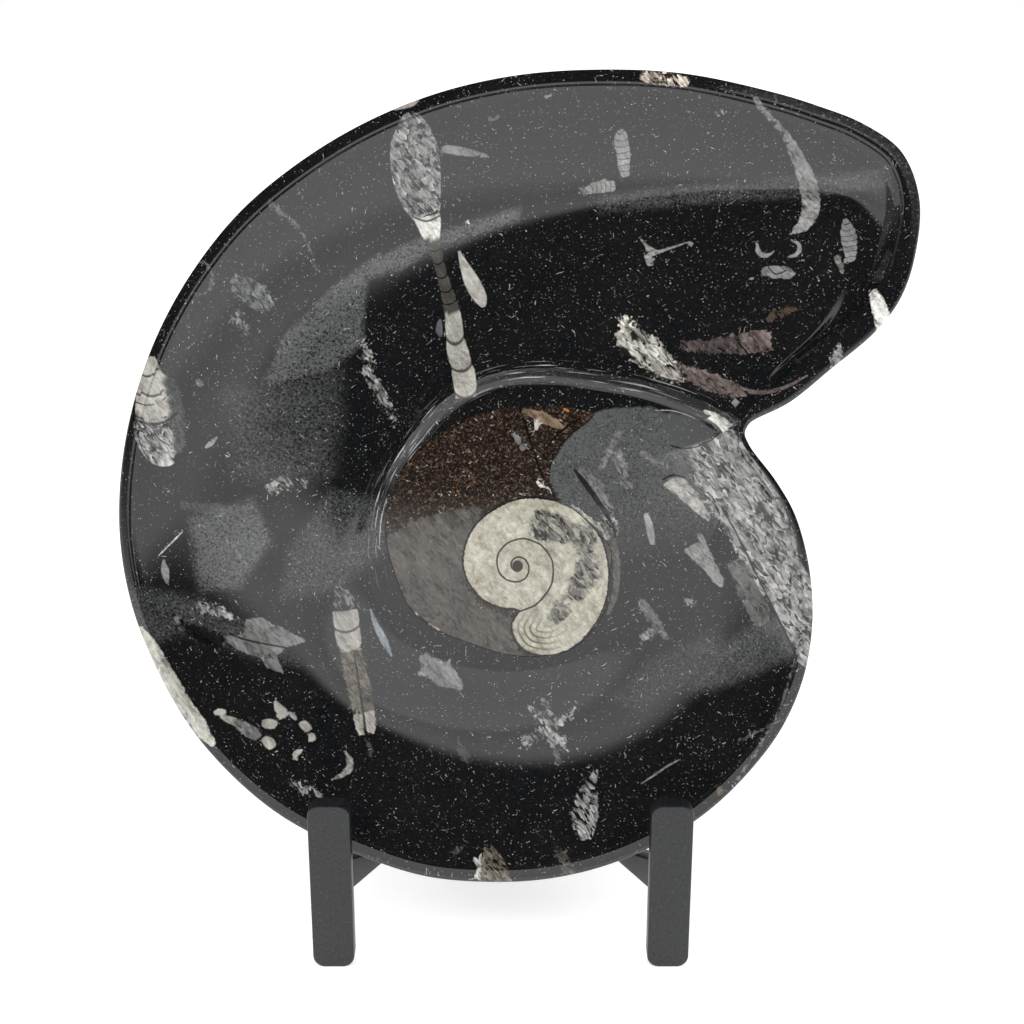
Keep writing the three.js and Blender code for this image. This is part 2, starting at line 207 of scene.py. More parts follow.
def whorl(angle, column):
    """One of WHORL's columns at any angle."""
    angles = np.append(FINE_WHORL[0], WHORL[-1, 0])
    values = np.append(FINE_WHORL[column], FINE_WHORL[column][0])
    return np.interp((np.asarray(angle) - WHORL[0, 0]) % 360 + WHORL[0, 0], angles, values)


def around(angle, radius):
    """The point (u, v) at an angle and a radius round the whorl centre."""
    turn = np.radians(angle)
    return WHORL_CENTRE[0] + radius * np.cos(turn), WHORL_CENTRE[1] + radius * np.sin(turn)


def angle_and_radius(points):
    """The angle and the radius of points (u, v) round the whorl centre."""
    away = points - WHORL_CENTRE
    return np.degrees(np.arctan2(away[:, 1], away[:, 0])), np.hypot(away[:, 0], away[:, 1])


def across_crest(angle, radius, crest):
    """How far outside the ridge's crest a point is, square across the ridge."""
    slope = (whorl(angle + 1, CREST_RADIUS) - whorl(angle - 1, CREST_RADIUS)) / math.radians(2)
    return (radius - crest) * np.cos(np.arctan2(slope, crest))


def hollow_height(angle, radius, rim):
    """Height of the carved face inside the lip: a low dome whose edge rises to the lip, the
    channel cut into it, and the ridge that stands between the channel and the middle."""
    crest = np.minimum(whorl(angle, CREST_RADIUS), rim)
    share_at_crest = np.minimum(1, crest / whorl(angle, INNER_RIM))

    def across_channel(r):
        return np.clip((r - crest) / (rim - crest + 1e-6), 0, 1)

    def floor_at(r):
        u, v = around(angle, r)
        away = (u - DOME_CENTRE[0]) ** 2 + (v - DOME_CENTRE[1]) ** 2
        fall = 1 - np.exp(-away / DOME_RADIUS ** 2)
        share = np.where(r < crest, share_at_crest * r / np.maximum(crest, 1e-6),
                         share_at_crest + (1 - share_at_crest) * across_channel(r))
        return (DOME_TOP + (DOME_FOOT - DOME_TOP) * fall) * (1 - share ** RIM_RISE)

    skew = math.log(CHANNEL_PEAK_AT) / np.log(whorl(angle, DEEPEST))
    t = across_channel(radius) ** skew
    channel = t * t * (1 - t) / (t * t + CHANNEL_SHOULDER ** 2) / CHANNEL_PEAK
    across = across_crest(angle, radius, crest)
    ridge = np.maximum(0, whorl(angle, CREST_HEIGHT) - floor_at(crest))
    width = np.where(across > 0, RIDGE_OUTER_WIDTH, RIDGE_INNER_WIDTH)
    carved = floor_at(radius) - whorl(angle, CHANNEL_DEPTH) * channel
    return np.minimum(0, carved + ridge * np.exp(-(across / width) ** 2))


def closed_curve(points, per_point):
    """A closed centripetal Catmull-Rom curve through the points: its points and its tangents."""
    made, tangents = [], []
    s = np.arange(per_point)[:, None] / per_point
    for i in range(len(points)):
        before, start, end, after = (points[(i + k) % len(points)] for k in (-1, 0, 1, 2))
        d0, d1, d2 = (math.sqrt(np.hypot(*(b - a)))
                      for a, b in ((before, start), (start, end), (end, after)))
        t1 = ((start - before) / d0 - (end - before) / (d0 + d1) + (end - start) / d1) * d1
        t2 = ((end - start) / d1 - (after - start) / (d1 + d2) + (after - end) / d2) * d1
        square = -3 * start + 3 * end - 2 * t1 - t2
        cube = 2 * start - 2 * end + t1 + t2
        made.append(start + t1 * s + square * s ** 2 + cube * s ** 3)
        tangents.append(t1 + 2 * square * s + 3 * cube * s ** 2)
    return np.concatenate(made), np.concatenate(tangents)


def unit_normals(tangents):
    """To the left of each tangent, which is inwards on an anticlockwise curve."""
    normals = np.stack([-tangents[:, 1], tangents[:, 0]], 1)
    return normals / np.hypot(*normals.T)[:, None]


def ring(points, height):
    """A ring of points (u, v, w) from points (u, v) and their height."""
    return np.column_stack([points, np.broadcast_to(height, len(points))])


def back_rings(back_edge):
    """The flat of the back, and its round flank out to the edge."""
    reach = back_edge - WHORL_CENTRE
    rings = [ring(WHORL_CENTRE + reach * share, -DISH_THICKNESS)[::4] for share in BACK_SHARES]
    for turn in np.linspace(0, math.pi / 2, FLANK_RINGS + 1)[:-1]:
        share = BACK_FLAT + (1 - BACK_FLAT) * math.sin(turn)
        height = -EDGE_THICKNESS - (DISH_THICKNESS - EDGE_THICKNESS) * math.cos(turn)
        rings.append(ring(WHORL_CENTRE + reach * share, height)[::2])
    return rings


def edge_rings(inside):
    """The edge, which tapers a little towards the back, and the bevel at its front."""
    rings = []
    for share in EDGE_SHARES:
        height = -EDGE_THICKNESS + share * (EDGE_THICKNESS - BEVEL)
        rings.append(ring(inside(EDGE_TAPER * (1 - share)), height))
    for turn in np.radians(BEVEL_TURNS):
        rings.append(ring(inside(BEVEL * (1 - math.cos(turn))), -BEVEL * (1 - math.sin(turn))))
    return rings


def lip_rings(inside, lip):
    """The flat lip and the small step down from it."""
    rings = [ring(inside(BEVEL + (lip - BEVEL) * share), 0) for share in LIP_SHARES]
    for share in LIP_STEP_SHARES:
        rings.append(ring(inside(lip + LIP_STEP_WIDTH * share), -LIP_STEP * eased(share)))
    return rings


def hollow_rings(foot):
    """The carved face, from the foot of the lip's step over the ridge to the middle."""
    angle, outer = angle_and_radius(foot)
    crest = np.minimum(whorl(angle, CREST_RADIUS), outer - LEAST_CHANNEL)

    def at_radius(radius):
        u, v = around(angle, radius)
        return np.column_stack([u, v, hollow_height(angle, radius, outer) - LIP_STEP])

    rings = []
    for share in np.linspace(1, 0, CHANNEL_RINGS + 1):
        rings.append(at_radius(crest + share ** CHANNEL_CROWDING * (outer - crest)))
    for share in np.linspace(1, 0, BOSS_RINGS + 1)[1:-1]:
        every = 2 if share > 0.35 else 4 if share > 0.12 else 8
        rings.append(at_radius(crest * share ** BOSS_CROWDING)[::every])
    return rings


def dish_rings():
    """Rings of the dish's surface, from the middle of the back to the middle of the front.
    Each is an array of points (u, v, w), and has the same rays as its neighbour or half of them."""
    rim, tangents = closed_curve(OUTLINE, RAYS_PER_POINT)
    inward = unit_normals(tangents)
    lip = whorl(angle_and_radius(rim)[0], LIP_WIDTH)

    def inside(distance):
        return rim + inward * np.reshape(distance, (-1, 1))

    return (back_rings(inside(EDGE_TAPER)) + edge_rings(inside) + lip_rings(inside, lip)
            + hollow_rings(inside(lip + LIP_STEP_WIDTH)))


def ring_mesh(rings):
    """Points and triangles of the closed surface through the rings, with a point at each end."""
    points = np.concatenate(rings + [[[*WHORL_CENTRE, -DISH_THICKNESS]],
                                     [[*WHORL_CENTRE, hollow_height(0, 0, 1) - LIP_STEP]]])
    starts = np.cumsum([0] + [len(row) for row in rings])
    triangles = []

    def fan(apex, start, count, flip):
        i = np.arange(count)
        a, b = start + i, start + (i + 1) % count
        apexes = np.full(count, apex)
        triangles.append(np.column_stack([apexes, b, a] if flip else [apexes, a, b]))

    for k in range(len(rings) - 1):
        lower, upper = starts[k], starts[k + 1]
        n, m = len(rings[k]), len(rings[k + 1])
        i = np.arange(min(n, m))
        j = (i + 1) % min(n, m)
        if n == m:
            triangles.append(np.column_stack([lower + i, lower + j, upper + j]))
            triangles.append(np.column_stack([lower + i, upper + j, upper + i]))
            continue
        # Twice the rays on one side: each coarse step faces two fine ones.
        coarse, fine = (lower, upper) if n < m else (upper, lower)
        first, second, third = fine + 2 * i, fine + 2 * i + 1, fine + (2 * i + 2) % max(n, m)
        parts = [np.column_stack([coarse + i, first, second]),
                 np.column_stack([coarse + j, second, third]),
                 np.column_stack([coarse + i, second, coarse + j])]
        triangles += [part[:, ::-1] if n < m else part for part in parts]
    fan(len(points) - 2, 0, len(rings[0]), True)
    fan(len(points) - 1, starts[-2], len(rings[-1]), False)
    return points, np.concatenate(triangles)


def mesh_object(name, points, faces):
    """A new object in the scene from points of the dish's frame and faces."""
    mesh = bpy.data.meshes.new(name)
    mesh.from_pydata(to_world(points).tolist(), [], [list(map(int, face)) for face in faces])
    mesh.validate()
    made = bpy.data.objects.new(name, mesh)
    bpy.context.scene.collection.objects.link(made)
    return made


# ---- The inlay's pocket ----

INLAY_OUTLINE = np.array([
    [-33.6, 1.9], [-29.9, 11.2], [-23.2, 18.4], [-16.5, 23.2], [-8.5, 26.7], [0, 28.5], [9, 28.8],
    [18.1, 28.0], [22.1, 26.4], [14.1, 19.2], [10.9, 13.9], [10.1, 8.5], [11.7, 3.2], [16.8, 0.5],
    [23.5, -6.1], [26.7, -10.1], [26.1, -18.1], [24.8, -27.5], [16.8, -36.8], [8.8, -38.9],
    [-0.5, -38.7], [-11.2, -35.5], [-21.9, -30.9], [-27.7, -25.6], [-32.0, -15.5], [-33.9, -7.5],
])
INLAY_FLOOR = -15
GLUE_LINE = 0.12
ABOVE_FACE = 5


def inlay_prism(name, margin):
    """A prism over the inlay's outline, this much wider and deeper, that rises above the face."""
    outline, tangents = closed_curve(INLAY_OUTLINE[::-1], 6)
    grown = outline - unit_normals(tangents) * margin
    count = len(grown)
    i = np.arange(count)
    j = (i + 1) % count
    sides = np.column_stack([i, j, j + count, i + count]).tolist()
    caps = [i[::-1].tolist(), (i + count).tolist()]
    points = np.concatenate([ring(grown, INLAY_FLOOR - margin), ring(grown, ABOVE_FACE)])
    return mesh_object(name, points, sides + caps)


def boolean(piece, tool, operation, name):
    """A new mesh: piece cut by tool, or what they share."""
    modifier = piece.modifiers.new("cut", "BOOLEAN")
    modifier.operation = operation
    modifier.object = tool
    modifier.solver = "MANIFOLD"
    evaluated = piece.evaluated_get(bpy.context.evaluated_depsgraph_get())
    mesh = bpy.data.meshes.new_from_object(evaluated)
    mesh.name = name
    piece.modifiers.remove(modifier)
    made = bpy.data.objects.new(name, mesh)
    bpy.context.scene.collection.objects.link(made)
    return made


def smooth(piece, sharp_from):
    """Smooth shading, with a crisp edge wherever faces meet at more than this angle."""
    mesh = piece.data
    mesh.polygons.foreach_set("use_smooth", np.ones(len(mesh.polygons), bool))
    mesh.set_sharp_from_angle(angle=math.radians(sharp_from))


def dish_frame_points(piece):
    """The piece's points in the dish's frame (u, v, w)."""
    flat = np.empty(len(piece.data.vertices) * 3)
    piece.data.vertices.foreach_get("co", flat)
    return (flat.reshape(-1, 3) / MM - DISH_ORIGIN) @ DISH_AXES.T


# ---- Fossils: calcite shells cut across by the polished face ----

# Colours of calcite, as sRGB.
CHALK = "#C6C4BE"
IVORY = "#A4A199"
PEARL = "#8E8C88"
ASH = "#807F7D"
PEWTER = "#6E6E6D"
BLUISH = "#80868C"
SMOKE = "#5A5B5C"
MAUVE = "#665B58"
UMBER = "#494642"
DUN = "#605A50"
TAN = "#6B5A4A"
ROSE = "#93897F"
RUST = "#9A5F2C"
SOOT = "#0C0908"

# How a fossil is preserved: raggedness of its edge in mm, how coarse its crystals are, how much of
# it is calcite, and whether walls part it into chambers.
CLEAR = (0.05, 0.35, 1, False)
SMOOTH = (0.1, 0.45, 1, False)
CHAMBERED = (0.08, 0.4, 0.95, True)
SPOTTED = (0.3, 0.55, 1, False)
MARLY = (0.8, 0.55, 0.85, False)
DUSTY = (0.6, 0.75, 0.8, False)
CRYSTAL = (0.15, 0.9, 1, False)
FEATHERY = (1.2, 0.9, 0.9, False)
SHARDS = (0.5, 1.2, 1, False)
FAINT = (0.7, 0.7, 0.4, False)

# The shells are placed in the camera's square picture, in pixels from its left and its top.
# A fossil is its colour, how it is preserved, and its path: points (x, y, half-width). A chambered
# one has a wall at each point. An area has corners (x, y) instead of a path.
PICTURE_MIDDLE = 512
PIXELS_PER_MM = 3.75  # on the dish's front plane

FOSSILS = [
    # The straight shell that runs down from the rim: its bulb, its neck and its tube.
    (PEWTER, CRYSTAL,
     [(409, 117, 4), (412, 126, 14), (414, 149, 24), (416, 171, 25), (420, 195, 21), (426, 213, 14)]),
    (CHALK, SMOOTH, [(427, 216, 14), (430, 228, 11), (432, 238, 8)]),
    (UMBER, CHAMBERED,
     [(432, 238, 8), (436, 251, 7), (439, 264, 6), (443, 278, 6), (447, 292, 7), (450, 304, 8),
      (453, 314, 9)]),
    (IVORY, CHAMBERED, [(452.5, 311, 8), (456, 344, 10.3), (463, 371, 11.8), (466.5, 398, 11.5)]),
    (SMOKE, SMOOTH, [(440, 320, 2), (439, 329, 4), (441, 337, 2)]),
    # Beside it a rod, an oval and a zigzag.
    (PEWTER, SMOOTH, [(444, 149, 3), (447, 149, 4.5), (466, 152, 4.5), (488, 156, 2)]),
    (IVORY, CLEAR, [(459, 251, 1.5), (463, 262, 4), (472, 282, 8), (480, 297, 7), (484, 307, 2)]),
    (ASH, FEATHERY,
     [(363, 341, 2), (367, 354, 4), (371, 364, 3), (368, 373, 5), (376, 386, 6), (382, 398, 6),
      (390, 411, 4), (396, 423, 1.5)]),
    # Smudges and hairlines at the upper left.
    (SMOKE, FEATHERY, [(232, 278, 5), (243, 287, 10), (257, 297, 12), (272, 307, 6)]),
    (SMOKE, FEATHERY, [(236, 310, 5), (240, 322, 6), (246, 335, 3)]),
    (ASH, FAINT, [(268, 200, 1.5), (276, 208, 3), (298, 227, 1.6), (309, 247, 1.3), (317, 272, 1)]),
    (ASH, FAINT,
     [(190, 262, 1.2), (204, 262, 1.4), (212, 274, 1.6), (211, 285, 1.5), (203, 294, 1.4),
      (190, 292, 1.2)]),
    # The conch on the left edge.
    (IVORY, CHAMBERED, [(146, 357, 8), (149, 376, 14), (153, 396, 18), (155, 420, 21)]),
    (ASH, CRYSTAL, [(154, 421, 22), (156, 436, 21), (160, 450, 16), (163, 457, 8)]),
    (CHALK, SMOOTH, [(152, 458, 5), (163, 459, 8), (172, 460, 5)]),
    (SMOKE, FAINT, [(166, 378, 5), (174, 400, 8), (178, 430, 8), (177, 452, 5)]),
    # Two ladder shells under the upper rim.
    (ASH, CHAMBERED,
     [(620.5, 129, 3), (621, 135, 6.5), (621.5, 141, 7.5), (622, 147, 8), (623, 153, 8),
      (623.5, 159, 7.5), (624, 165, 6.5), (625, 171, 5.5), (625.5, 177, 4)]),
    (ASH, CHAMBERED,
     [(584, 191, 3), (588, 189.5, 5), (592.5, 188, 6), (597, 187, 6.5), (601.5, 186.5, 7), (606, 186, 7),
      (610.5, 186, 6.5), (614.5, 186, 5)]),
    (SMOKE, FEATHERY, [(580, 190, 3), (586, 191, 4), (590, 190, 4)]),
    # The crescent's thin upper end, and the comma, the hook and the ellipse inside it.
    (PEWTER, CRYSTAL, [(717, 109, 3.5), (720, 112, 5), (721, 116, 3.5)]),
    (PEWTER, SMOOTH, [(751, 87, 2), (756, 99, 2.6), (761, 109, 3)]),
    (ASH, SMOOTH,
     [(752, 86, 1), (765, 108, 1), (785, 128, 1), (803, 154, 1), (817, 186, 1.2), (820, 205, 1.2),
      (815, 222, 1)]),
    (ASH, SMOOTH, [(758, 244, 1.2), (758, 250, 2.8), (763, 255, 3), (769, 255, 2), (774, 251, 0.8)]),
    (ASH, SMOOTH, [(792, 241, 1), (798, 243, 2), (800, 249, 2.6), (796, 255, 2.2), (788, 257, 1.2)]),
    (PEWTER, SPOTTED,
     [(762, 272, 2), (769, 271, 5.5), (779, 271.5, 7), (788, 273, 5.5), (794, 274, 1.5)]),
    (ASH, SMOOTH, [(750, 279, 1.6), (754, 278, 1.6)]),
    # The ribbed shell in the lobe, and calcite on the lobe's rim.
    (ASH, CHAMBERED,
     [(846, 221, 3), (847, 226, 6), (848, 231, 8), (849, 236, 8.5), (849.5, 241, 8.5), (850, 246, 8),
      (850.5, 251, 7), (851, 256, 6), (852, 261, 4)]),
    (ASH, CHAMBERED, [(836, 256, 3), (838, 260, 3.5), (840, 264, 3.5), (842, 269, 3), (843, 274, 1.5)]),
    (CHALK, SPOTTED, [(872, 289, 3), (877, 300, 7), (881, 312, 9), (882, 324, 7), (879, 337, 2)]),
    (ASH, FEATHERY, [(842, 346, 3), (838, 356, 6), (837, 366, 6), (833, 374, 3)]),
    # The feathery shell, and the mauve bands between it and the notch.
    (IVORY, FEATHERY, [(618, 318, 3), (626, 324, 6), (630, 334, 10)]),
    (IVORY, FEATHERY,
     [(622, 330, 9), (633, 342, 15), (648, 352, 16), (661, 362, 13), (674, 372, 9), (684, 381, 3)]),
    (MAUVE, FAINT, [(681, 345, 5), (705, 346, 7), (730, 345, 9), (745, 343, 10)]),
    (MAUVE, DUSTY, [(738, 346, 9), (748, 343, 12), (760, 342, 12), (771, 341, 8)]),
    (ASH, SMOOTH, [(731, 333, 3), (733, 337, 3)]),
    (TAN, FAINT, [(767, 318, 4), (781, 313, 5), (796, 307, 3)]),
    (MAUVE, DUSTY, [(679, 368, 4), (694, 375, 8), (712, 382, 9), (730, 389, 8), (748, 394, 4)]),
    (MAUVE, SMOOTH, [(729, 384, 3), (748, 391, 2.5), (767, 392, 2.2), (788, 386, 2), (808, 375, 1)]),
    # The star in the black of the lobe, and a painted glint on the grey leaf.
    (PEARL, SMOOTH, [(641, 239, 1), (648, 247, 2.5), (655, 252, 3), (664, 250, 1.6), (691, 241, 0.7)]),
    # Painted glint: a thin white line along the top of the grey leaf, drawn as calcite.
    (CHALK, CLEAR, [(655, 410.5, 0.5), (672, 410.5, 0.6), (690, 416, 0.6), (706, 424, 0.5)]),
    (ASH, SPOTTED, [(647, 252, 2), (649, 260, 4), (652, 266, 1.5)]),
    (ASH, SMOOTH, [(688, 242, 2), (693, 245, 2.4)]),
    (ASH, SMOOTH, [(733, 400, 3.5), (738, 405, 4)]),
    # The second straight shell, left of the goniatite.
    (SMOKE, FEATHERY, [(338, 586, 3), (342, 597, 7), (344, 608, 9)]),
    (IVORY, CHAMBERED, [(345, 610, 13), (347.5, 632, 13.5), (351, 652, 11)]),
    (IVORY, SPOTTED, [(364, 711, 11), (365, 722, 11), (366, 735, 8)]),
    (SMOKE, FAINT, [(366, 735, 4), (369, 747, 3), (370, 757, 2)]),
    # Patches below and left of it.
    (PEWTER, SPOTTED, [(423, 654, 4), (430, 665, 9), (442, 674, 12), (453, 681, 8), (462, 690, 2)]),
    (PEWTER, SPOTTED, [(418, 674, 2), (430, 672, 5), (444, 668, 3), (450, 660, 1)]),
    (ASH, FEATHERY, [(194, 604, 3), (205, 607, 5), (219, 611, 5), (232, 617, 4)]),
    # The ring of fragments at the lower left.
    (CHALK, CLEAR, [(214, 713, 2), (220, 712, 4), (226, 713, 2)]),
    (IVORY, CLEAR, [(220, 716, 1.5), (226, 719, 3.5), (234, 721, 4.5)]),
    (PEWTER, SPOTTED, [(234, 722, 4), (243, 727, 6), (252, 733, 6.5), (259, 739, 5)]),
    (IVORY, CLEAR, [(264, 739, 4), (269, 743, 6), (273, 748, 4)]),
    (IVORY, CLEAR, [(275, 701, 1.5), (279, 709, 5), (284, 713, 4), (277, 718, 3.5)]),
    (IVORY, CLEAR, [(262, 724, 4), (269, 724, 5.5), (277, 725, 4)]),
    (ASH, SMOOTH, [(289, 712, 1.5), (293, 716, 3), (296, 719, 1.5)]),
    (IVORY, CLEAR, [(300, 722, 3), (305, 726, 5), (310, 731, 3)]),
    (IVORY, CLEAR, [(311, 734, 3), (312, 738, 4), (311, 742, 3)]),
    (IVORY, CLEAR, [(294, 755, 1.5), (297, 753, 3.5), (301, 751, 2)]),
    (IVORY, CLEAR, [(293, 757, 2.5), (298, 760, 1.5)]),
    # Leaves, scratches and faint patches on the left side.
    (PEARL, SPOTTED, [(345, 751, 1), (349, 758, 2.8), (350, 766, 4), (344, 774, 3.2), (331, 780, 1)]),
    (ASH, FEATHERY, [(285, 781, 1.5), (298, 786, 4), (310, 792, 4.5), (327, 798, 1.5)]),
    (ASH, SMOOTH, [(163, 562, 2), (165, 572, 4.5), (167, 584, 1.5)]),
    (ASH, SMOOTH, [(206, 447, 1.5), (211, 443, 3), (217, 437, 1)]),
    (CHALK, SMOOTH, [(158, 556, 0.8), (171, 543, 1), (183, 531, 0.8)]),
    (SMOKE, FAINT, [(181, 504, 4), (205, 509, 6), (228, 510, 6), (247, 509, 4)]),
    (ASH, FEATHERY, [(268, 490, 4), (278, 484, 6), (292, 482, 4), (305, 486, 3)]),
    (ASH, FAINT, [(225, 537, 1.5), (235, 550, 2), (248, 568, 1.5)]),
    (BLUISH, SMOOTH, [(370, 609, 1.2), (376, 625, 3.2), (384, 641, 4), (392, 657, 1.2)]),
    (SOOT, FEATHERY, [(178, 622, 3), (192, 631, 6), (208, 638, 8), (224, 643, 7)]),
    (PEWTER, FEATHERY, [(172, 612, 2), (184, 628, 3), (198, 636, 2)]),
    # Marks right of the goniatite.
    (ASH, FAINT, [(618, 450, 4), (622, 470, 6), (628, 490, 5)]),
    (ASH, SMOOTH, [(646, 513, 3), (649, 524, 4), (651, 535, 4), (653, 545, 2.5)]),
    # The second straight shell's tube.
    (DUN, DUSTY, [(350, 650, 11), (355, 672, 12), (360, 694, 12), (364, 714, 11)]),
    # The crescent in the upper channel.
    (PEWTER, SPOTTED,
     [(761, 109, 3), (771, 119, 3), (782, 131, 3.5), (790, 143, 5), (798, 158, 7), (806, 176, 9),
      (810, 192, 9.5), (811, 200, 9)]),
    (ASH, SPOTTED, [(811, 198, 9), (810, 212, 9), (805, 223, 7), (797, 230, 4), (790, 234, 1)]),
    # Calcite on the left rim and at the notch, and lines and wisps in the grey bay.
    (IVORY, SPOTTED,
     [(139, 627, 3), (150, 646, 7), (166, 676, 9), (184, 706, 9), (200, 728, 8), (214, 746, 3)]),
    (CHALK, SPOTTED, [(703, 410, 1), (712, 415, 4), (718, 422, 7), (728, 430, 8)]),
    (UMBER, SPOTTED, [(607, 523, 2), (614, 545, 4), (617, 570, 4), (615, 595, 3.5), (608, 615, 2)]),
    (IVORY, SPOTTED, [(571, 504, 1), (585, 515, 2), (600, 528, 2.5), (608, 540, 1.5)]),
    (ASH, FEATHERY, [(552, 462, 1), (558, 442, 1.6), (572, 424, 1.6), (590, 411, 1.2)]),
    (ASH, FAINT, [(580, 470, 3), (592, 480, 6), (602, 496, 6), (610, 512, 4)]),
    (ASH, FAINT, [(640, 600, 4), (652, 618, 5), (668, 640, 4)]),
    (ASH, FAINT, [(600, 470, 2), (612, 446, 4), (622, 430, 3)]),
    (ASH, FAINT, [(640, 452, 2), (655, 462, 4), (668, 466, 2)]),
    (SMOKE, FAINT, [(660, 474, 3), (670, 470, 5), (682, 474, 4)]),
    # Streaks, leaves and cones near the lower rim.
    (ASH, SMOOTH, [(641, 784, 0.8), (655, 775, 1.2), (668, 766, 1.2), (681, 759, 0.8)]),
    (ASH, FAINT, [(738, 741, 1), (760, 731, 1.3), (781, 721, 1)]),
    (PEWTER, SHARDS, [(596, 769, 1.5), (590, 787, 7), (586, 806, 13), (584, 824, 12), (586, 840, 4)]),
    (DUN, CRYSTAL, [(487, 845, 3), (491, 857, 9), (494, 872, 15), (496, 888, 18)]),
    (CHALK, SPOTTED, [(474, 858, 2), (480, 868, 3), (478, 880, 5)]),
    (SMOKE, FAINT, [(452, 858, 3), (458, 850, 3), (463, 845, 1.5)]),
    (UMBER, FEATHERY, [(556, 850, 2), (563, 860, 6), (571, 873, 6), (577, 880, 3)]),
    (TAN, SMOOTH, [(718, 787, 3), (722, 795, 4)]),
    (SMOKE, FAINT, [(458, 745, 2), (465, 755, 5), (470, 764, 3)]),
    # Chips and crusts on the upper rim.
    (ROSE, SMOOTH, [(386, 109, 2), (397, 105, 5), (410, 101, 6), (418, 98, 3)]),
    (ROSE, SHARDS, [(640, 76, 4), (655, 77, 7), (672, 79, 7), (690, 82, 5)]),
    (ASH, FAINT, [(795, 660, 1.4), (782, 703, 1.4), (761, 744, 1.4), (738, 780, 1.4)]),
    (SMOKE, SMOOTH, [(487, 117, 3), (493, 120, 1.5), (499, 116, 2.5)]),
    # Faint dots.
    (SMOKE, SMOOTH, [(376, 257, 3), (380, 259, 3)]),
    (ASH, CRYSTAL, [(465, 222, 4), (470, 222, 4)]),
    (SMOKE, FEATHERY, [(280, 343, 3), (290, 345, 4)]),
    (SMOKE, FEATHERY, [(196, 380, 4), (204, 384, 4)]),
    (SMOKE, FEATHERY, [(640, 640, 4), (650, 633, 5), (660, 628, 3)]),
    (ASH, FEATHERY, [(688, 598, 3), (694, 606, 4)]),
    (ASH, SMOOTH, [(543, 93, 1.5), (548, 98, 1.5), (553, 93, 1)]),
    # Rays in the lower channel, and the fringe of the calcite band.
    (ASH, FEATHERY, [(603, 503, 4), (609, 517, 6), (614, 530, 5), (617, 539, 2)]),
    (ASH, FEATHERY, [(520, 745, 3), (545, 730, 5), (575, 712, 3)]),
    (ASH, FEATHERY, [(528, 706, 2), (548, 728, 5), (568, 752, 3)]),
    (SMOKE, FEATHERY, [(545, 700, 3), (553, 735, 5), (560, 766, 2)]),
    (ASH, FEATHERY, [(690, 455, 8), (712, 488, 12), (732, 520, 12), (748, 556, 9), (764, 596, 5)]),
    (ASH, FAINT, [(735, 560, 10), (752, 596, 12), (764, 625, 8)]),
]

FOSSIL_AREAS = [
    # The long leaf and the jagged leaf in the grey bay.
    (PEARL, SPOTTED,
     [(661, 485), (668, 480), (676, 476), (683, 474), (690, 484), (700, 498), (708, 511), (711, 518),
      (709, 523), (702, 518), (690, 508), (676, 496)]),
    (ASH, SPOTTED,
     [(696, 530), (703, 534), (709, 548), (717, 564), (725, 580), (722, 588), (714, 583), (706, 573),
      (696, 563), (690, 557), (682, 551), (691, 545), (698, 541)]),
    # The broad band of white calcite at the right.
    (ASH, CRYSTAL,
     [(684, 449), (706, 441), (722, 430), (733, 428), (737, 434), (747, 450), (764, 473), (781, 498),
      (795, 535), (800, 560), (812, 580), (820, 640), (806, 668), (797, 662), (790, 640), (775, 611),
      (757, 575), (738, 536), (722, 508), (703, 478)]),
    # The jagged patch at the left.
    (PEWTER, SPOTTED,
     [(245, 619), (260, 617), (285, 629), (308, 641), (298, 645), (286, 648), (277, 657), (285, 674),
      (268, 669), (258, 657), (247, 655), (229, 645), (221, 636), (243, 634)]),
]

# Dark lines as paths: cracks and walls that cross the shells, and painted shade.
CRACKS_AND_PAINTED_SHADE = [
    # In the straight shell's neck and in the conch.
    [(414, 217, 0.9), (427, 221, 1), (441, 215, 0.9)],
    [(132, 418, 1), (148, 424, 1.2), (164, 422, 1.2), (178, 412, 1)],
    [(131, 400, 0.5), (146, 405, 0.6), (160, 402, 0.6), (172, 390, 0.5)],
    [(135, 424, 0.5), (141, 446, 0.6), (150, 462, 0.5)],
    [(150, 424, 0.5), (158, 438, 0.6), (170, 446, 0.5)],
    # In the jagged patch, down the second straight shell, and along the calcite band.
    [(229, 634, 0.8), (250, 641, 1), (287, 648, 0.9)],
    [(354, 654, 0.8), (359, 685, 1), (363, 712, 1.2), (366, 736, 1.2)],
    [(722, 508, 0.7), (738, 536, 0.9), (757, 575, 0.9), (775, 611, 0.8), (797, 658, 0.7)],
    # In the long leaf and the ellipse, and painted reflection: the dark edge under the grey leaf.
    [(662, 480, 0.8), (673, 475, 1), (685, 478, 0.8)],
    [(768, 267, 0.6), (776, 274, 0.7), (787, 270, 0.6)],
    [(670, 445, 0.6), (682, 448.5, 0.8), (696, 447, 0.8), (710, 441, 0.8), (720, 433, 0.7)],
    # Painted shade: the dark slash in the bay, and the black wedge of shadow between the bay and the ridge.
    [(574, 469, 1), (584, 482, 2.6), (597, 500, 2.6), (611, 522, 1.6)],
    [(640, 394, 0.8), (665, 402, 1.8), (690, 412, 3), (712, 425, 3.2), (721, 432, 1.5)],
]
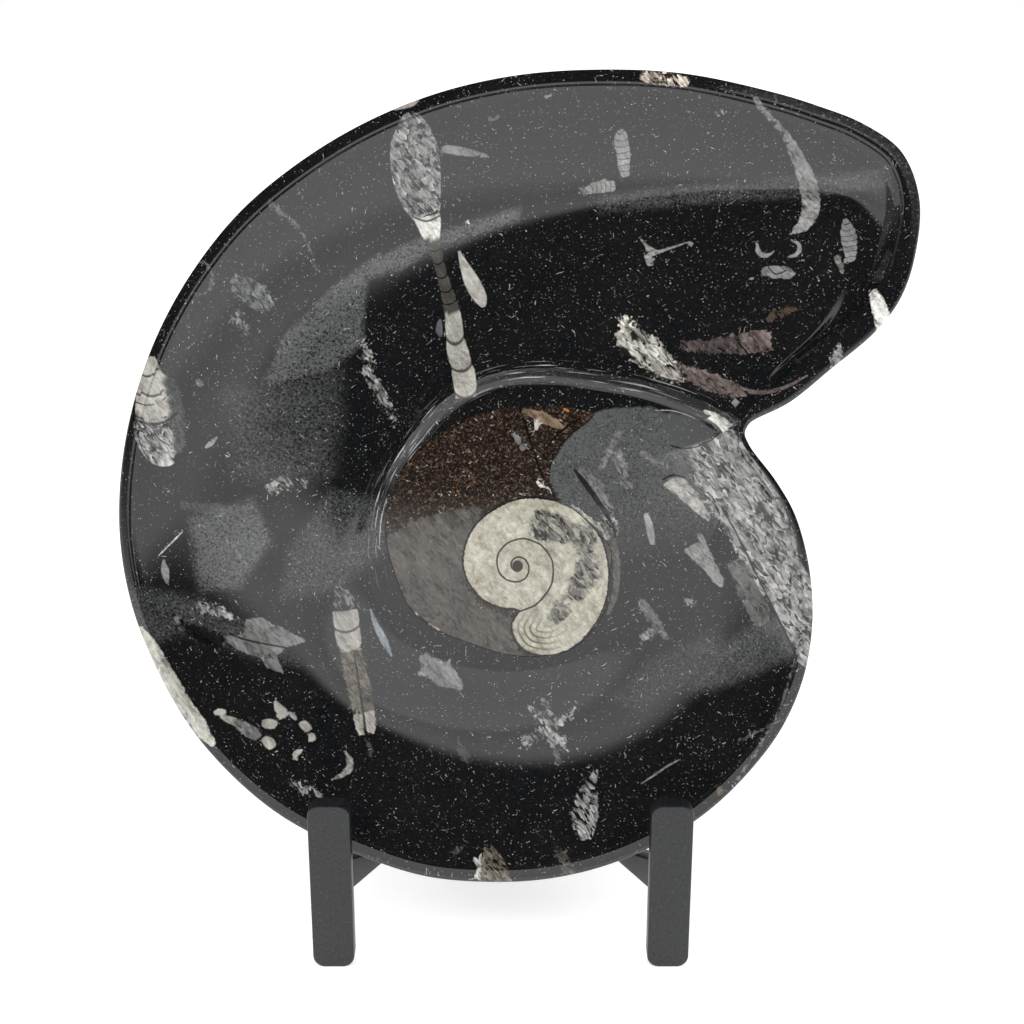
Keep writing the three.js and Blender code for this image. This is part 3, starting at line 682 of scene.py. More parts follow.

# Painted sheen: grey painted into the stone where its polished face shows a hazy reflection of the bright
# room:
# how much of it is even and how much is grainy, how wide its edge fades, the two heights between which it
# fades out downwards, if it does, and its corners.
PAINTED_SHEENS = [
    # Painted reflection: the grey bay beside the goniatite, and the grey leaf above it.
    (0.38, 0.55, 1.5, (490, 560),
     [(598, 411), (616, 408), (654, 407), (660, 424), (674, 446), (688, 448), (700, 447), (712, 470),
      (720, 520), (700, 560), (560, 560), (548, 540), (560, 500), (548, 480), (551, 464), (566, 441),
      (590, 417)]),
    (0.75, 0, 1.0, None,
     [(656, 411), (690, 415), (712, 423), (720, 433), (712, 441), (700, 446), (688, 448), (674, 446),
      (666, 436), (660, 424)]),
    # Painted sheens in the upper channel, down the left side and at the lower right.
    (0, 1.0, 7, None,
     [(367, 278), (362, 345), (325, 372), (262, 385), (285, 335), (330, 290), (375, 258), (430, 235),
      (520, 207), (520, 219), (430, 252), (400, 270)]),
    (0, 0.45, 34, None,
     [(226, 392), (290, 380), (338, 360), (338, 420), (330, 470), (290, 486), (236, 476)]),
    (0, 1.05, 14, None, [(190, 520), (253, 500), (270, 540), (240, 587), (200, 590)]),
    (0, 0.5, 16, None, [(330, 490), (380, 500), (385, 550), (340, 590), (280, 600), (290, 550)]),
    (0, 0.25, 14, None, [(610, 700), (650, 660), (720, 630), (735, 650), (690, 680), (640, 712)]),
    # Painted sheens low down on the left and on the right, and along the top of the lobe.
    (0.05, 0.4, 16, None,
     [(128, 590), (165, 592), (205, 600), (240, 620), (270, 640), (300, 665), (262, 660), (230, 648),
      (180, 632), (150, 645), (134, 622)]),
    (0.2, 0.45, 14, None,
     [(690, 690), (715, 655), (745, 628), (788, 612), (800, 652), (750, 676), (712, 690)]),
    (0, 0.5, 9, None,
     [(600, 196), (700, 184), (800, 178), (880, 170), (888, 188), (800, 196), (700, 203), (600, 212)]),
]


def linear(hex_colour):
    """Linear RGB of an sRGB colour written as #RRGGBB."""
    channels = [int(hex_colour[i:i + 2], 16) / 255 for i in (1, 3, 5)]
    return [c / 12.92 if c <= 0.04045 else ((c + 0.055) / 1.055) ** 2.4 for c in channels]


def in_mm(pixels):
    """A length in the camera's picture, in mm on the front plane."""
    return pixels / PIXELS_PER_MM


def on_front_plane(shape):
    """A path or corners from the camera's picture, as points (u, v) or (u, v, half-width)."""
    placed = np.array(shape, float)
    placed[:, 0] -= PICTURE_MIDDLE
    placed[:, 1] = PICTURE_MIDDLE - placed[:, 1]
    return in_mm(placed)


PATH_STEPS = 4
LEAST_HALF_WIDTH = 0.05
FIELD_REACH = 5.0  # how far from a fossil its distance is worked out
FIELD_NEAR = 1.0  # how far outside a thin fossil its two sides are told apart
THIN = 1.6  # width up to which a fossil is thin
WAIST = 0.3  # how much narrower a chambered shell is at its walls
WAIST_LENGTH = 0.15  # in chambers
WALL_SAG = 0.25  # how far back a wall lies at its sides, in chambers
MID_CHAMBER = 0.5
MOST_CHAMBERS = 20
FAR = 1000


def fine_path(path):
    """A smooth curve through a path's points: rows of (u, v, half-width, place along the path)."""
    held = np.vstack([2 * path[0] - path[1], path, 2 * path[-1] - path[-2]])
    rows = []
    for k in range(len(path) - 1):
        before, start, end, after = held[k:k + 4]
        square = 2 * before - 5 * start + 4 * end - after
        cube = 3 * start - before - 3 * end + after
        for s in np.arange(PATH_STEPS) / PATH_STEPS:
            rows.append([*(start + ((end - before) * s + square * s ** 2 + cube * s ** 3) / 2), k + s])
    rows.append([*path[-1], len(path) - 1])
    return np.array(rows)


def path_edges(points, path):
    """How far each point lies inside the two sides and the ends of a tapering path, how deep that
    makes it, and its place along the path, drawn back at the sides as a chamber's wall is."""
    rows = fine_path(path)
    best = np.full(len(points), -float(FAR))
    found = np.zeros((5, len(points)))
    last = len(rows) - 2
    for k, (a, b) in enumerate(zip(rows[:-1], rows[1:])):
        run = b[:2] - a[:2]
        length = max(np.hypot(*run), 1e-6)
        t = (points - a[:2]) @ run / length ** 2
        held = np.clip(t, 0, 1)
        away = points - (a[:2] + held[:, None] * run)
        side = np.hypot(*away.T) * np.sign(run[0] * away[:, 1] - run[1] * away[:, 0])
        width = np.maximum(a[2] + (b[2] - a[2]) * held, LEAST_HALF_WIDTH)
        better = width - abs(side) > best
        best = np.where(better, width - abs(side), best)
        past_start = t * length if k == 0 else FIELD_REACH
        before_end = (1 - t) * length if k == last else FIELD_REACH
        end = np.broadcast_to(np.minimum(past_start, before_end), len(points))
        along = a[3] + (b[3] - a[3]) * held + WALL_SAG * np.minimum(abs(side) / width, 1.5) ** 2
        found = np.where(better, np.array([width - side, width + side, end, best, along]), found)
    found[3] = np.min(found[:3], 0)
    return found


def polygon_depth(points, corners):
    """How deep each point lies inside an outline."""
    nearest = np.full(len(points), float(FAR))
    inside = np.zeros(len(points), bool)
    for a, b in zip(corners, np.roll(corners, -1, 0)):
        run = b - a
        t = np.clip((points - a) @ run / (run @ run), 0, 1)
        nearest = np.minimum(nearest, np.hypot(*(points - (a + t[:, None] * run)).T))
        crosses = (a[1] > points[:, 1]) != (b[1] > points[:, 1])
        at = a[0] + (points[:, 1] - a[1]) / (run[1] or 1) * run[0]
        inside ^= crosses & (points[:, 0] < at)
    return np.where(inside, nearest, -nearest)


def fossil_fields(points, fossils):
    """For points (u, v), of the fossil that each is in or nearest to: the distances inside its
    sides and ends; its chambers, raggedness and crystals; its colour; and its share of calcite."""
    depth = np.full(len(points), -FIELD_REACH)
    edges = np.full((len(points), 3), -FIELD_REACH)
    nature = np.tile([MID_CHAMBER, 0, 0], (len(points), 1))
    tints = np.tile(linear(IVORY), (len(points), 1))
    solid = np.ones(len(points))
    for index, (tint, (ragged, crystals, share, chambered), shape) in enumerate(fossils):
        placed = on_front_plane(shape)
        low, high = placed[:, :2].min(0), placed[:, :2].max(0)
        near = np.flatnonzero(np.all((points > low - 2 * FIELD_REACH) & (points < high + 2 * FIELD_REACH), 1))
        if len(near) == 0:
            continue
        if placed.shape[1] == 2:
            deep = polygon_depth(points[near], placed)
            found = np.array([deep, deep, deep, deep, np.full(len(near), MID_CHAMBER)])
        else:
            found = path_edges(points[near], placed)
        if chambered:
            found[:2] -= WAIST * np.exp(-((found[4] - np.round(found[4])) / WAIST_LENGTH) ** 2)
            found[3] = np.min(found[:3], 0)
        told_apart = np.where(found[0] + found[1] < THIN, -FIELD_NEAR, 0)
        found[:3] = np.where(found[3] < told_apart, found[3], found[:3])
        better = found[3] > depth[near]
        chosen = near[better]
        depth[chosen] = found[3][better]
        edges[chosen] = found[:3, better].T
        nature[chosen, 0] = MOST_CHAMBERS * index + (found[4][better] if chambered else MID_CHAMBER)
        nature[chosen, 1:] = ragged, crystals
        tints[chosen] = linear(tint)
        solid[chosen] = share
    return np.clip(edges, -FIELD_REACH, FIELD_REACH), nature, tints, solid


def painted_sheen_fields(points):
    """The even and the grainy share of painted sheen, grey that stands in for a hazy reflection, at points
    (u, v).
    """
    total = np.zeros((len(points), 2))
    for even, grainy, softness, fade, corners in PAINTED_SHEENS:
        depth = polygon_depth(points, on_front_plane(corners))
        near = eased(np.clip(depth / in_mm(softness) + 0.5, 0, 1))
        if fade:
            full, gone = (in_mm(PICTURE_MIDDLE - height) for height in fade)
            near *= np.clip((points[:, 1] - gone) / (full - gone), 0, 1)
        total = np.maximum(total, near[:, None] * [even, grainy])
    return total


def cloud_field(points, clouds):
    """Soft round patches, each (u, v, radius, strength)."""
    total = np.zeros(len(points))
    for u, v, radius, strength in clouds:
        total += strength * np.exp(-((points[:, 0] - u) ** 2 + (points[:, 1] - v) ** 2) / radius ** 2)
    return total


def store(piece, name, *columns):
    """A vector at each point of the piece, from one or more columns, for its material to read."""
    made = piece.data.attributes.new(name, "FLOAT_VECTOR", "POINT")
    made.data.foreach_set("vector", np.column_stack(columns).astype(np.float32).ravel())


def sighted(place):
    """Where the camera sees a point (u, v, w) on the front plane."""
    return place[:, :2] * CAMERA_DISTANCE / (CAMERA_DISTANCE - place[:, 2:])


BACK_TURN = math.radians(140)  # the back shows the same shells as the front, turned and moved
BACK_SHIFT = np.array([18, -9])
LEAST_FACING = 0.05  # how much a surface faces outwards, from 0 to 1, to count as the front
EDGE_MARGIN = 0.01


def face_points(piece, place):
    """Where each point looks up its fossils: the front as it is, the back turned and moved."""
    turned = np.array([[math.cos(BACK_TURN), math.sin(BACK_TURN)],
                       [-math.sin(BACK_TURN), math.cos(BACK_TURN)]])
    back = place[:, :2] @ turned.T + BACK_SHIFT
    facing = np.empty(len(place) * 3)
    piece.data.vertex_normals.foreach_get("vector", facing)
    in_front = facing.reshape(-1, 3) @ OUT > LEAST_FACING
    in_front |= place[:, 2] > -EDGE_THICKNESS - EDGE_MARGIN
    return np.where(in_front[:, None], sighted(place), back)


# Angles round the whorl centre: where it comes in and is full, and where it fades and is gone.
RIDGE_MARKED = (18, 24, 190, 218)
EDGE_CHIPPED = (30, 42, 58, 64)
RIDGE_REACH = 12
RIDGE_RADIUS = 40  # about; it makes the angle a length along the ridge
FACE_DEPTH = 16  # the ridge's marks are only less far behind the front plane than this


def arc_share(angle, arc):
    """How much a thing is there at an angle, for the four angles of its arc."""
    come, full, fade, gone = arc
    turn = angle % 360
    return np.clip((turn - come) / (full - come), 0, 1) * np.clip((gone - turn) / (gone - fade), 0, 1)


def dress_dish(piece):
    """Stores at the dish's points what its limestone shows there."""
    place = dish_frame_points(piece)
    looked_up = face_points(piece, place)
    edges, nature, tints, solid = fossil_fields(looked_up, FOSSIL_AREAS + FOSSILS)
    crack_and_shade_edges, *_ = fossil_fields(looked_up, [(SOOT, CLEAR, path) for path in CRACKS_AND_PAINTED_SHADE])
    rim, _ = closed_curve(OUTLINE, 4)
    angle, radius = angle_and_radius(place[:, :2])
    across = np.clip(across_crest(angle, radius, whorl(angle, CREST_RADIUS)), -RIDGE_REACH, RIDGE_REACH)
    along = np.radians(angle % 360) * RIDGE_RADIUS
    marked = arc_share(angle, RIDGE_MARKED) * (place[:, 2] > -FACE_DEPTH)
    chipped = arc_share(angle, EDGE_CHIPPED) * (place[:, 2] > -EDGE_THICKNESS)
    store(piece, "stone", place)
    store(piece, "fossil_edges", edges)
    store(piece, "fossil_nature", nature)
    store(piece, "tint", tints)
    store(piece, "crack_and_shade_edges", crack_and_shade_edges)
    store(piece, "lip", polygon_depth(place[:, :2], rim), chipped, solid)
    # Painted sheen: where grey is painted into the stone in place of a hazy reflection.
    store(piece, "dust_and_sheen", painted_sheen_fields(looked_up), np.zeros(len(place)))
    store(piece, "ridge", across, along, marked)


# ---- The goniatite ----

GONIATITE_CENTRE = (1.5, -14.4)
FIRST_WHORL_RADIUS = 3.07
WHORL_GROWTH = 2.8  # how many times wider each turn is than the one before
GONIATITE_OUTLINE = np.array([
    [2.1, -26.1], [-3.4, -25.2], [-8.6, -22.3], [-12.8, -14.4], [-10, -4.2], [1.5, 3.2],
    [14.2, 1.8], [22.6, -5.5], [25.5, -14.4], [24.9, -23.3], [20.8, -31.5], [15.5, -36.3],
    [9.9, -38.1], [3.5, -36.8], [0.5, -32.8], [0.3, -29.3],
])
# Soft patches (u, v, radius, strength): grey crystal in the shell, and growth lines at its mouth.
GREY_PATCHES = [
    (8, -3.5, 5, 1), (13, -5, 4, 0.8), (19, -5, 4, 0.7), (21, -15, 4.5, 0.9), (17.5, -21, 4.5, 0.8),
    (12, -27, 4, 0.9), (20, -9, 4, 0.5),
]
MOUTH = [(4.8, -34.1, 6.5, 1)]

# Marks in the brown rock round the goniatite, as the fossils are given.
INLAY_MARKS = [
    # The tan wedge at the top of the brown rock, with white and orange spots and dark lines.
    (TAN, SPOTTED, [(524, 410, 2), (540, 416, 5), (556, 424, 4), (566, 430, 1)]),
    (IVORY, SMOOTH, [(535, 414, 1.5), (537, 422, 3), (536, 430, 1.5)]),
    (RUST, SMOOTH, [(530, 411, 1.5), (534, 414, 2.2)]),
    (RUST, SMOOTH, [(546, 421, 1.6), (551, 424, 2.2)]),
    (RUST, SMOOTH, [(564, 409, 1.2), (569, 411, 1.6)]),
    (SOOT, SMOOTH, [(519, 404, 1.2), (530, 440, 1.0), (544, 481, 1)]),
    (SOOT, SMOOTH, [(580, 418, 1), (560, 432, 1), (547, 446, 1)]),
    # Small grey and tan marks in the brown rock.
    (SMOKE, SMOOTH, [(513, 434, 1.5), (518, 439, 3), (519, 443, 1.5)]),
    (SMOKE, SMOOTH, [(521, 446, 2), (524, 450, 3)]),
    (TAN, FAINT, [(458, 480, 1), (464, 471, 1.2), (472, 474, 1.2), (474, 483, 0.8)]),
    # The crust between the rock and the black stone.
    (CHALK, SMOOTH, [(537, 481, 0.8), (540, 485, 2), (545, 487, 0.8)]),
    (IVORY, SPOTTED, [(548, 488, 1), (556, 497, 1.5), (566, 508, 1.2), (580, 517, 1.8), (592, 525, 2)]),
    (ROSE, SHARDS, [(411, 613, 2), (422, 619, 6), (434, 628, 6), (442, 634, 2)]),
    (IVORY, SPOTTED, [(432, 632, 1.5), (448, 637, 2), (462, 643, 1.2), (480, 650, 0.8)]),
    (UMBER, SPOTTED,
     [(580, 517, 1.2), (594, 525, 2.2), (605, 540, 3), (612, 562, 3.5), (614, 588, 3), (606, 610, 2)]),
    (RUST, SMOOTH, [(609, 544, 2), (611, 550, 2.5)]),
]

# The greyer rock below the goniatite.
INLAY_AREAS = [
    (UMBER, MARLY,
     [(384, 540), (400, 528), (420, 518), (439, 513), (460, 509), (483, 505), (475, 530), (463, 560),
      (466, 585), (480, 606), (505, 613), (516, 620), (512, 640), (524, 655), (505, 657), (480, 651),
      (455, 641), (430, 629), (405, 606), (390, 578)]),
]


def dress_inlay(piece):
    """Stores at the inlay's points what its rock and its goniatite show there."""
    place = dish_frame_points(piece)
    looked_up = sighted(place)
    outline, _ = closed_curve(GONIATITE_OUTLINE, 6)
    edges, nature, tints, solid = fossil_fields(looked_up, INLAY_AREAS + INLAY_MARKS)
    shell_depth = np.clip(polygon_depth(looked_up, outline), -6, 20)
    store(piece, "stone", looked_up, place[:, 2])
    store(piece, "fossil_edges", edges)
    store(piece, "fossil_nature", solid, nature[:, 1:])
    store(piece, "tint", tints)
    store(piece, "shell", shell_depth, cloud_field(looked_up, GREY_PATCHES), cloud_field(looked_up, MOUTH))


# ---- Materials ----


def node(tree, kind, inputs=None, **settings):
    """Adds a node with its settings, and sets or links its inputs. A node that is given as an
    input stands for its first output."""
    made = tree.nodes.new("ShaderNode" + kind)
    for name, value in settings.items():
        setattr(made, name, value)
    for key, value in (inputs or {}).items():
        if isinstance(value, bpy.types.Node):
            value = value.outputs[0]
        if isinstance(value, bpy.types.NodeSocket):
            tree.links.new(value, made.inputs[key])
        else:
            made.inputs[key].default_value = value
    return made


def new_material(name):
    material = bpy.data.materials.new(name)
    material.use_nodes = True
    tree = material.node_tree
    tree.nodes.clear()
    return material, tree


def finish_material(tree, inputs):
    node(tree, "OutputMaterial", {"Surface": node(tree, "BsdfPrincipled", inputs)})


def colour(hex_colour):
    return (*linear(hex_colour), 1)


def stored(tree, name):
    """The three values stored at the points under this name."""
    vector = node(tree, "Attribute", attribute_name=name).outputs["Vector"]
    return node(tree, "SeparateXYZ", {"Vector": vector}).outputs


def bent(tree, place, size, reach):
    """The place moved about by a soft noise of this size, so that what it carries looks grown."""
    soft = node(tree, "TexNoise", {"Vector": place, "Scale": 1 / size, "Detail": 3})
    return node(tree, "VectorMath", {0: soft.outputs["Color"], 1: (reach,) * 3, 2: place},
                operation="MULTIPLY_ADD")


GRAIN_FADING = 3.2  # the higher, the fewer of the strewn grains are bright


def strewn(tree, place, density, cell, turn, share, size):
    """Grains strewn through the stone, in a share of the cells of a Voronoi pattern: a cell's sizes
    and its turn in radians, and the grain's size in cells. Gives how much of a grain is at a point."""
    laid = node(tree, "Mapping", {"Vector": place, "Rotation": (0, 0, turn), "Scale": cell},
                vector_type="TEXTURE")
    cells = node(tree, "TexVoronoi", {"Vector": laid, "Scale": 1, "Randomness": 1}).outputs
    pick = node(tree, "SeparateColor", {"Color": cells["Color"]}).outputs
    limit = node(tree, "Math", {0: density, 1: -2 * share, 2: 1}, operation="MULTIPLY_ADD")
    chosen = node(tree, "Math", {0: pick[0], 1: limit}, operation="GREATER_THAN")
    body = node(tree, "MapRange", {"Value": cells["Distance"], "From Min": size, "From Max": size / 2})
    here = node(tree, "Math", {0: chosen, 1: body}, operation="MULTIPLY")
    fading = node(tree, "Math", {0: pick[1], 1: GRAIN_FADING}, operation="POWER")
    return node(tree, "Math", {0: here, 1: fading}, operation="MULTIPLY")


def least_edge(tree, name):
    """The least of the distances inside two sides and the ends that are stored at the points."""
    left, right, end = stored(tree, name)
    side = node(tree, "Math", {0: left, 1: right}, operation="MINIMUM")
    return node(tree, "Math", {0: side, 1: end}, operation="MINIMUM")


FRAY_REACH = 3.2


def inside_fossil(tree, place, ragged, size):
    """How far inside its frayed edge each point of a fossil is, in mm."""
    depth = least_edge(tree, "fossil_edges")
    fray = node(tree, "TexNoise", {"Vector": place, "Scale": 1 / size, "Detail": 5, "Roughness": 0.7})
    fray = node(tree, "MapRange", {"Value": fray, "To Min": -FRAY_REACH, "To Max": FRAY_REACH})
    return node(tree, "Math", {0: fray, 1: ragged, 2: depth}, operation="MULTIPLY_ADD")


CRYSTAL_LEAN = 0.7  # the way most crystals lie, in radians
CRYSTAL_SIZE = 1.8
FIBRE_SIZE = 0.9
BANK_SIZE = 5  # groups of crystals that are lighter or darker together


def crystal_light(tree, place, crystals):
    """How light calcite is at each point: nearly even where it is fine, and where its crystals are
    coarse, long facets over a millimetre across with fibres in them, each painted lighter on one side and
    darker on the other as if it caught the light at a slant."""
    drawn = node(tree, "Mapping", {"Vector": place, "Rotation": (0, 0, CRYSTAL_LEAN),
                                   "Scale": (0.6, 1.6, 1)}, vector_type="TEXTURE")
    grown = bent(tree, drawn, 4, 4.5)
    facets = node(tree, "TexVoronoi", {"Vector": grown, "Scale": 1 / CRYSTAL_SIZE, "Randomness": 1}).outputs
    facet = node(tree, "SeparateColor", {"Color": facets["Color"]})
    # Painted shade: a gradient across each facet, lighter on one side and darker on the other.
    from_middle = node(tree, "VectorMath", {0: grown, 1: facets["Position"]}, operation="SUBTRACT")
    lean = node(tree, "VectorMath", {0: facets["Color"], 1: (0.5, 0.5, 0.5)}, operation="SUBTRACT")
    painted_facet_shade = node(tree, "VectorMath", {0: from_middle, 1: lean}, operation="DOT_PRODUCT").outputs["Value"]
    fibres = node(tree, "TexNoise", {"Vector": grown, "Scale": 1 / FIBRE_SIZE, "Detail": 5,
                                     "Roughness": 0.75})
    banks = node(tree, "TexNoise", {"Vector": grown, "Scale": 1 / BANK_SIZE, "Detail": 3})
    cut = node(tree, "Math", {0: facet, 1: 0.8, 2: -0.4}, operation="MULTIPLY_ADD")
    cut = node(tree, "Math", {0: painted_facet_shade, 1: 2.2, 2: cut}, operation="MULTIPLY_ADD")
    lit = node(tree, "Math", {0: fibres, 1: 4.5, 2: -4}, operation="MULTIPLY_ADD")
    lit = node(tree, "Math", {0: banks, 1: 3.5, 2: lit}, operation="MULTIPLY_ADD")
    lit = node(tree, "Math", {0: cut, 1: crystals, 2: lit}, operation="MULTIPLY_ADD")
    lit = node(tree, "Math", {0: lit, 1: crystals, 2: 1}, operation="MULTIPLY_ADD")
    return node(tree, "Math", {0: lit, 1: 0.05}, operation="MAXIMUM")


def calcite_over(tree, ground, place, crystals, solid, inside_by, shades=()):
    """The ground with the fossils' calcite over it, darkened by the shades."""
    tint = node(tree, "Attribute", attribute_name="tint").outputs["Vector"]
    inside = node(tree, "MapRange", {"Value": inside_by, "From Min": -0.06, "From Max": 0.12})
    inside = node(tree, "Math", {0: inside, 1: solid}, operation="MULTIPLY")
    light = crystal_light(tree, place, crystals)
    for shade in shades:
        light = node(tree, "Math", {0: light, 1: shade}, operation="MULTIPLY")
    calcite = node(tree, "VectorMath", {0: tint, "Scale": light}, operation="SCALE")
    return node(tree, "MixRGB", {"Fac": inside, "Color1": ground, "Color2": calcite})


# Grains and hairlines of shell in the black stone: the cell's sizes in mm, its turn in radians, the
# share of cells that hold one, and its size as a share of the cell.
STREWN_IN_BLACK = [
    ((0.5, 0.45, 0.5), 0, 0.3, 0.34),
    ((0.9, 0.7, 0.8), 0.6, 0.1, 0.3),
    ((3.4, 0.45, 0.5), 0.5, 0.05, 0.34),
    ((2.6, 0.42, 0.5), -0.8, 0.05, 0.34),
    ((4.2, 0.45, 0.5), 1.5, 0.03, 0.34),
    ((6.0, 0.5, 0.5), 0.15, 0.02, 0.34),
    ((3.0, 0.42, 0.5), 2.4, 0.04, 0.34),
]


def black_ground(tree, place):
    """Soot black stone, browner and greyer in clouds a few centimetres across, with painted sheens
    of grey that stand in for hazy reflections, and strewn with grains and hairlines."""
    even_sheen, grainy_sheen, _ = stored(tree, "dust_and_sheen")
    clouds = node(tree, "TexNoise", {"Vector": place, "Scale": 1 / 24, "Detail": 4, "Roughness": 0.6})
    browner = node(tree, "MapRange", {"Value": clouds, "From Min": 0.4, "From Max": 0.65})
    ground = node(tree, "MixRGB", {"Fac": browner, "Color1": colour("#08090B"), "Color2": colour("#0F0E0E")})

    # Painted sheen: grey, even or in grains under a millimetre that thin out at its edge, in place
    # of a hazy reflection. A trace of the grains lies everywhere as pale dust.
    grains = node(tree, "TexNoise", {"Vector": place, "Scale": 1 / 0.7, "Detail": 4, "Roughness": 0.85})
    patchy = node(tree, "TexNoise", {"Vector": place, "Scale": 1 / 7, "Detail": 4})
    grainy = node(tree, "Math", {0: patchy, 1: 0.9, 2: -3.45}, operation="MULTIPLY_ADD")
    grainy = node(tree, "Math", {0: grains, 1: 7.5, 2: grainy}, operation="MULTIPLY_ADD")
    thinned = node(tree, "Math", {0: grainy_sheen, 1: 0.04}, operation="ADD")
    grainy = node(tree, "Math", {0: grainy, 1: thinned}, operation="MULTIPLY", use_clamp=True)
    dust_and_sheen = node(tree, "Math", {0: grainy, 1: even_sheen}, operation="ADD")
    ground = node(tree, "MixRGB", {"Fac": dust_and_sheen, "Color1": ground, "Color2": colour("#535454")})

    # The grains and hairlines, thicker in some places than in others.
    density = node(tree, "TexNoise", {"Vector": place, "Scale": 1 / 9, "Detail": 3, "Roughness": 0.6})
    curled = bent(tree, place, 2.5, 1.6)
    for cell, turn, share, size in STREWN_IN_BLACK:
        amount = strewn(tree, curled, density, cell, turn, share, size)
        ground = node(tree, "MixRGB", {"Fac": amount, "Color1": ground, "Color2": colour("#A4A4A2")})
    return ground


MARK_SPACING = 0.5  # of the polisher's wheel marks
MARK_LENGTH = 16
MARKS_INSIDE = 0.9  # the marks' middle lies this far inside the ridge's crest


def wheel_marks(tree):
    """Fine lines along the ridge: how strong they are at each point, and where they lie there. They raise a
    bump, and are painted pale as glints.
    """
    across_ridge, along_ridge, marked = stored(tree, "ridge")
    across = node(tree, "Math", {0: across_ridge, 1: 1 / MARK_SPACING}, operation="MULTIPLY")
    along = node(tree, "Math", {0: along_ridge, 1: 1 / MARK_LENGTH}, operation="MULTIPLY")
    place = node(tree, "CombineXYZ", {"X": across, "Y": along})
    lines = node(tree, "TexNoise", {"Vector": place, "Scale": 1, "Detail": 2, "Roughness": 0.6})
    from_middle = node(tree, "Math", {0: across_ridge, 1: MARKS_INSIDE}, operation="ADD")
    from_middle = node(tree, "Math", {0: from_middle}, operation="ABSOLUTE")
    on_ridge = node(tree, "MapRange", {"Value": from_middle, "From Min": 3.4, "From Max": 1.8})
    return lines, node(tree, "Math", {0: on_ridge, 1: marked}, operation="MULTIPLY")


def black_fossil_limestone():
    """Black Devonian limestone from the Atlas, sawn, carved and polished with fine grit: a deep
    black with a wet gloss, in which white and grey calcite fossils lie flush."""
    material, tree = new_material("black_fossil_limestone")
    place = node(tree, "Attribute", attribute_name="stone").outputs["Vector"]
    along, ragged, crystals = stored(tree, "fossil_nature")
    edge, chipped, solid = stored(tree, "lip")

    lines, on_ridge = wheel_marks(tree)
    # Painted glints: pale lines painted along the ridge's crest where its wheel marks catch the light.
    painted_glint = node(tree, "MapRange", {"Value": lines, "From Min": 0.58, "From Max": 0.7, "To Max": 0.9})
    painted_glint = node(tree, "Math", {0: painted_glint, 1: on_ridge}, operation="MULTIPLY")
    ground = node(tree, "MixRGB", {"Fac": painted_glint, "Color1": black_ground(tree, place),
                                   "Color2": colour("#B9BBBD")})

    # The fossils have thin dark chamber walls, a dark seam round the edge, and a tone for each chamber.
    inside_by = inside_fossil(tree, place, ragged, 1.6)
    to_wall = node(tree, "Math", {0: along, 1: 0.5}, operation="PINGPONG")
    wall = node(tree, "MapRange", {"Value": to_wall, "From Min": 0.03, "From Max": 0.09, "To Min": 0.2})
    seam = node(tree, "MapRange", {"Value": inside_by, "From Min": 0.05, "From Max": 0.3, "To Min": 0.45})
    chamber = node(tree, "Math", {0: along}, operation="FLOOR")
    chamber = node(tree, "TexWhiteNoise", {"W": chamber}, noise_dimensions="1D")
    chamber = node(tree, "MapRange", {"Value": chamber, "To Min": 0.78, "To Max": 1.12})
    stone = calcite_over(tree, ground, place, crystals, solid, inside_by, (wall, seam, chamber))
    # Dark lines: cracks, and painted shade where the ridge shades the bay.
    crack_and_shade = node(tree, "MapRange", {"Value": least_edge(tree, "crack_and_shade_edges"), "From Min": -0.08,
                                    "From Max": 0.06, "To Max": 0.85})
    stone = node(tree, "MixRGB", {"Fac": crack_and_shade, "Color1": stone, "Color2": colour(SOOT)})

    # The chipped outer edge: duller, and full of pale grains, where the polish never reached.
    chips = node(tree, "TexNoise", {"Vector": place, "Scale": 1 / 1.2, "Detail": 5, "Roughness": 0.75})
    chip = node(tree, "MapRange", {"Value": edge, "From Min": 2.9, "From Max": 2.3})
    chip = node(tree, "Math", {0: chip, 1: chipped}, operation="MULTIPLY")
    flecks = node(tree, "MapRange", {"Value": chips, "From Min": 0.55, "From Max": 0.7, "To Max": 0.6})
    flecked = node(tree, "MixRGB", {"Fac": flecks, "Color1": colour("#0E0E0F"), "Color2": colour("#A8A6A2")})
    stone = node(tree, "MixRGB", {"Fac": chip, "Color1": stone, "Color2": flecked})

    polish = node(tree, "TexNoise", {"Vector": place, "Scale": 1 / 6, "Detail": 3})
    gloss = node(tree, "MapRange", {"Value": polish, "To Min": 0.07, "To Max": 0.13})
    gloss = node(tree, "Math", {0: chip, 1: 0.18, 2: gloss}, operation="MULTIPLY_ADD")
    height = node(tree, "Math", {0: chips, 1: chip}, operation="MULTIPLY")
    line_height = node(tree, "Math", {0: lines, 1: on_ridge}, operation="MULTIPLY")
    height = node(tree, "Math", {0: line_height, 1: 0.5, 2: height}, operation="MULTIPLY_ADD")
    bump = node(tree, "Bump", {"Height": height, "Strength": 1, "Distance": 0.4 * MM})
    finish_material(tree, {"Base Color": stone, "Roughness": gloss, "IOR": 1.62, "Normal": bump})
    return material


# Tones of the brown rock and of the shell, from where their noise is low to where it is high.
MATRIX_TONES = ((0.42, "#080606"), (0.55, "#2C211B"), (0.7, "#9C8A79"))
CREAM_TONES = ((0.33, "#7C705E"), (0.47, "#989587"), (0.66, "#AFADA0"))

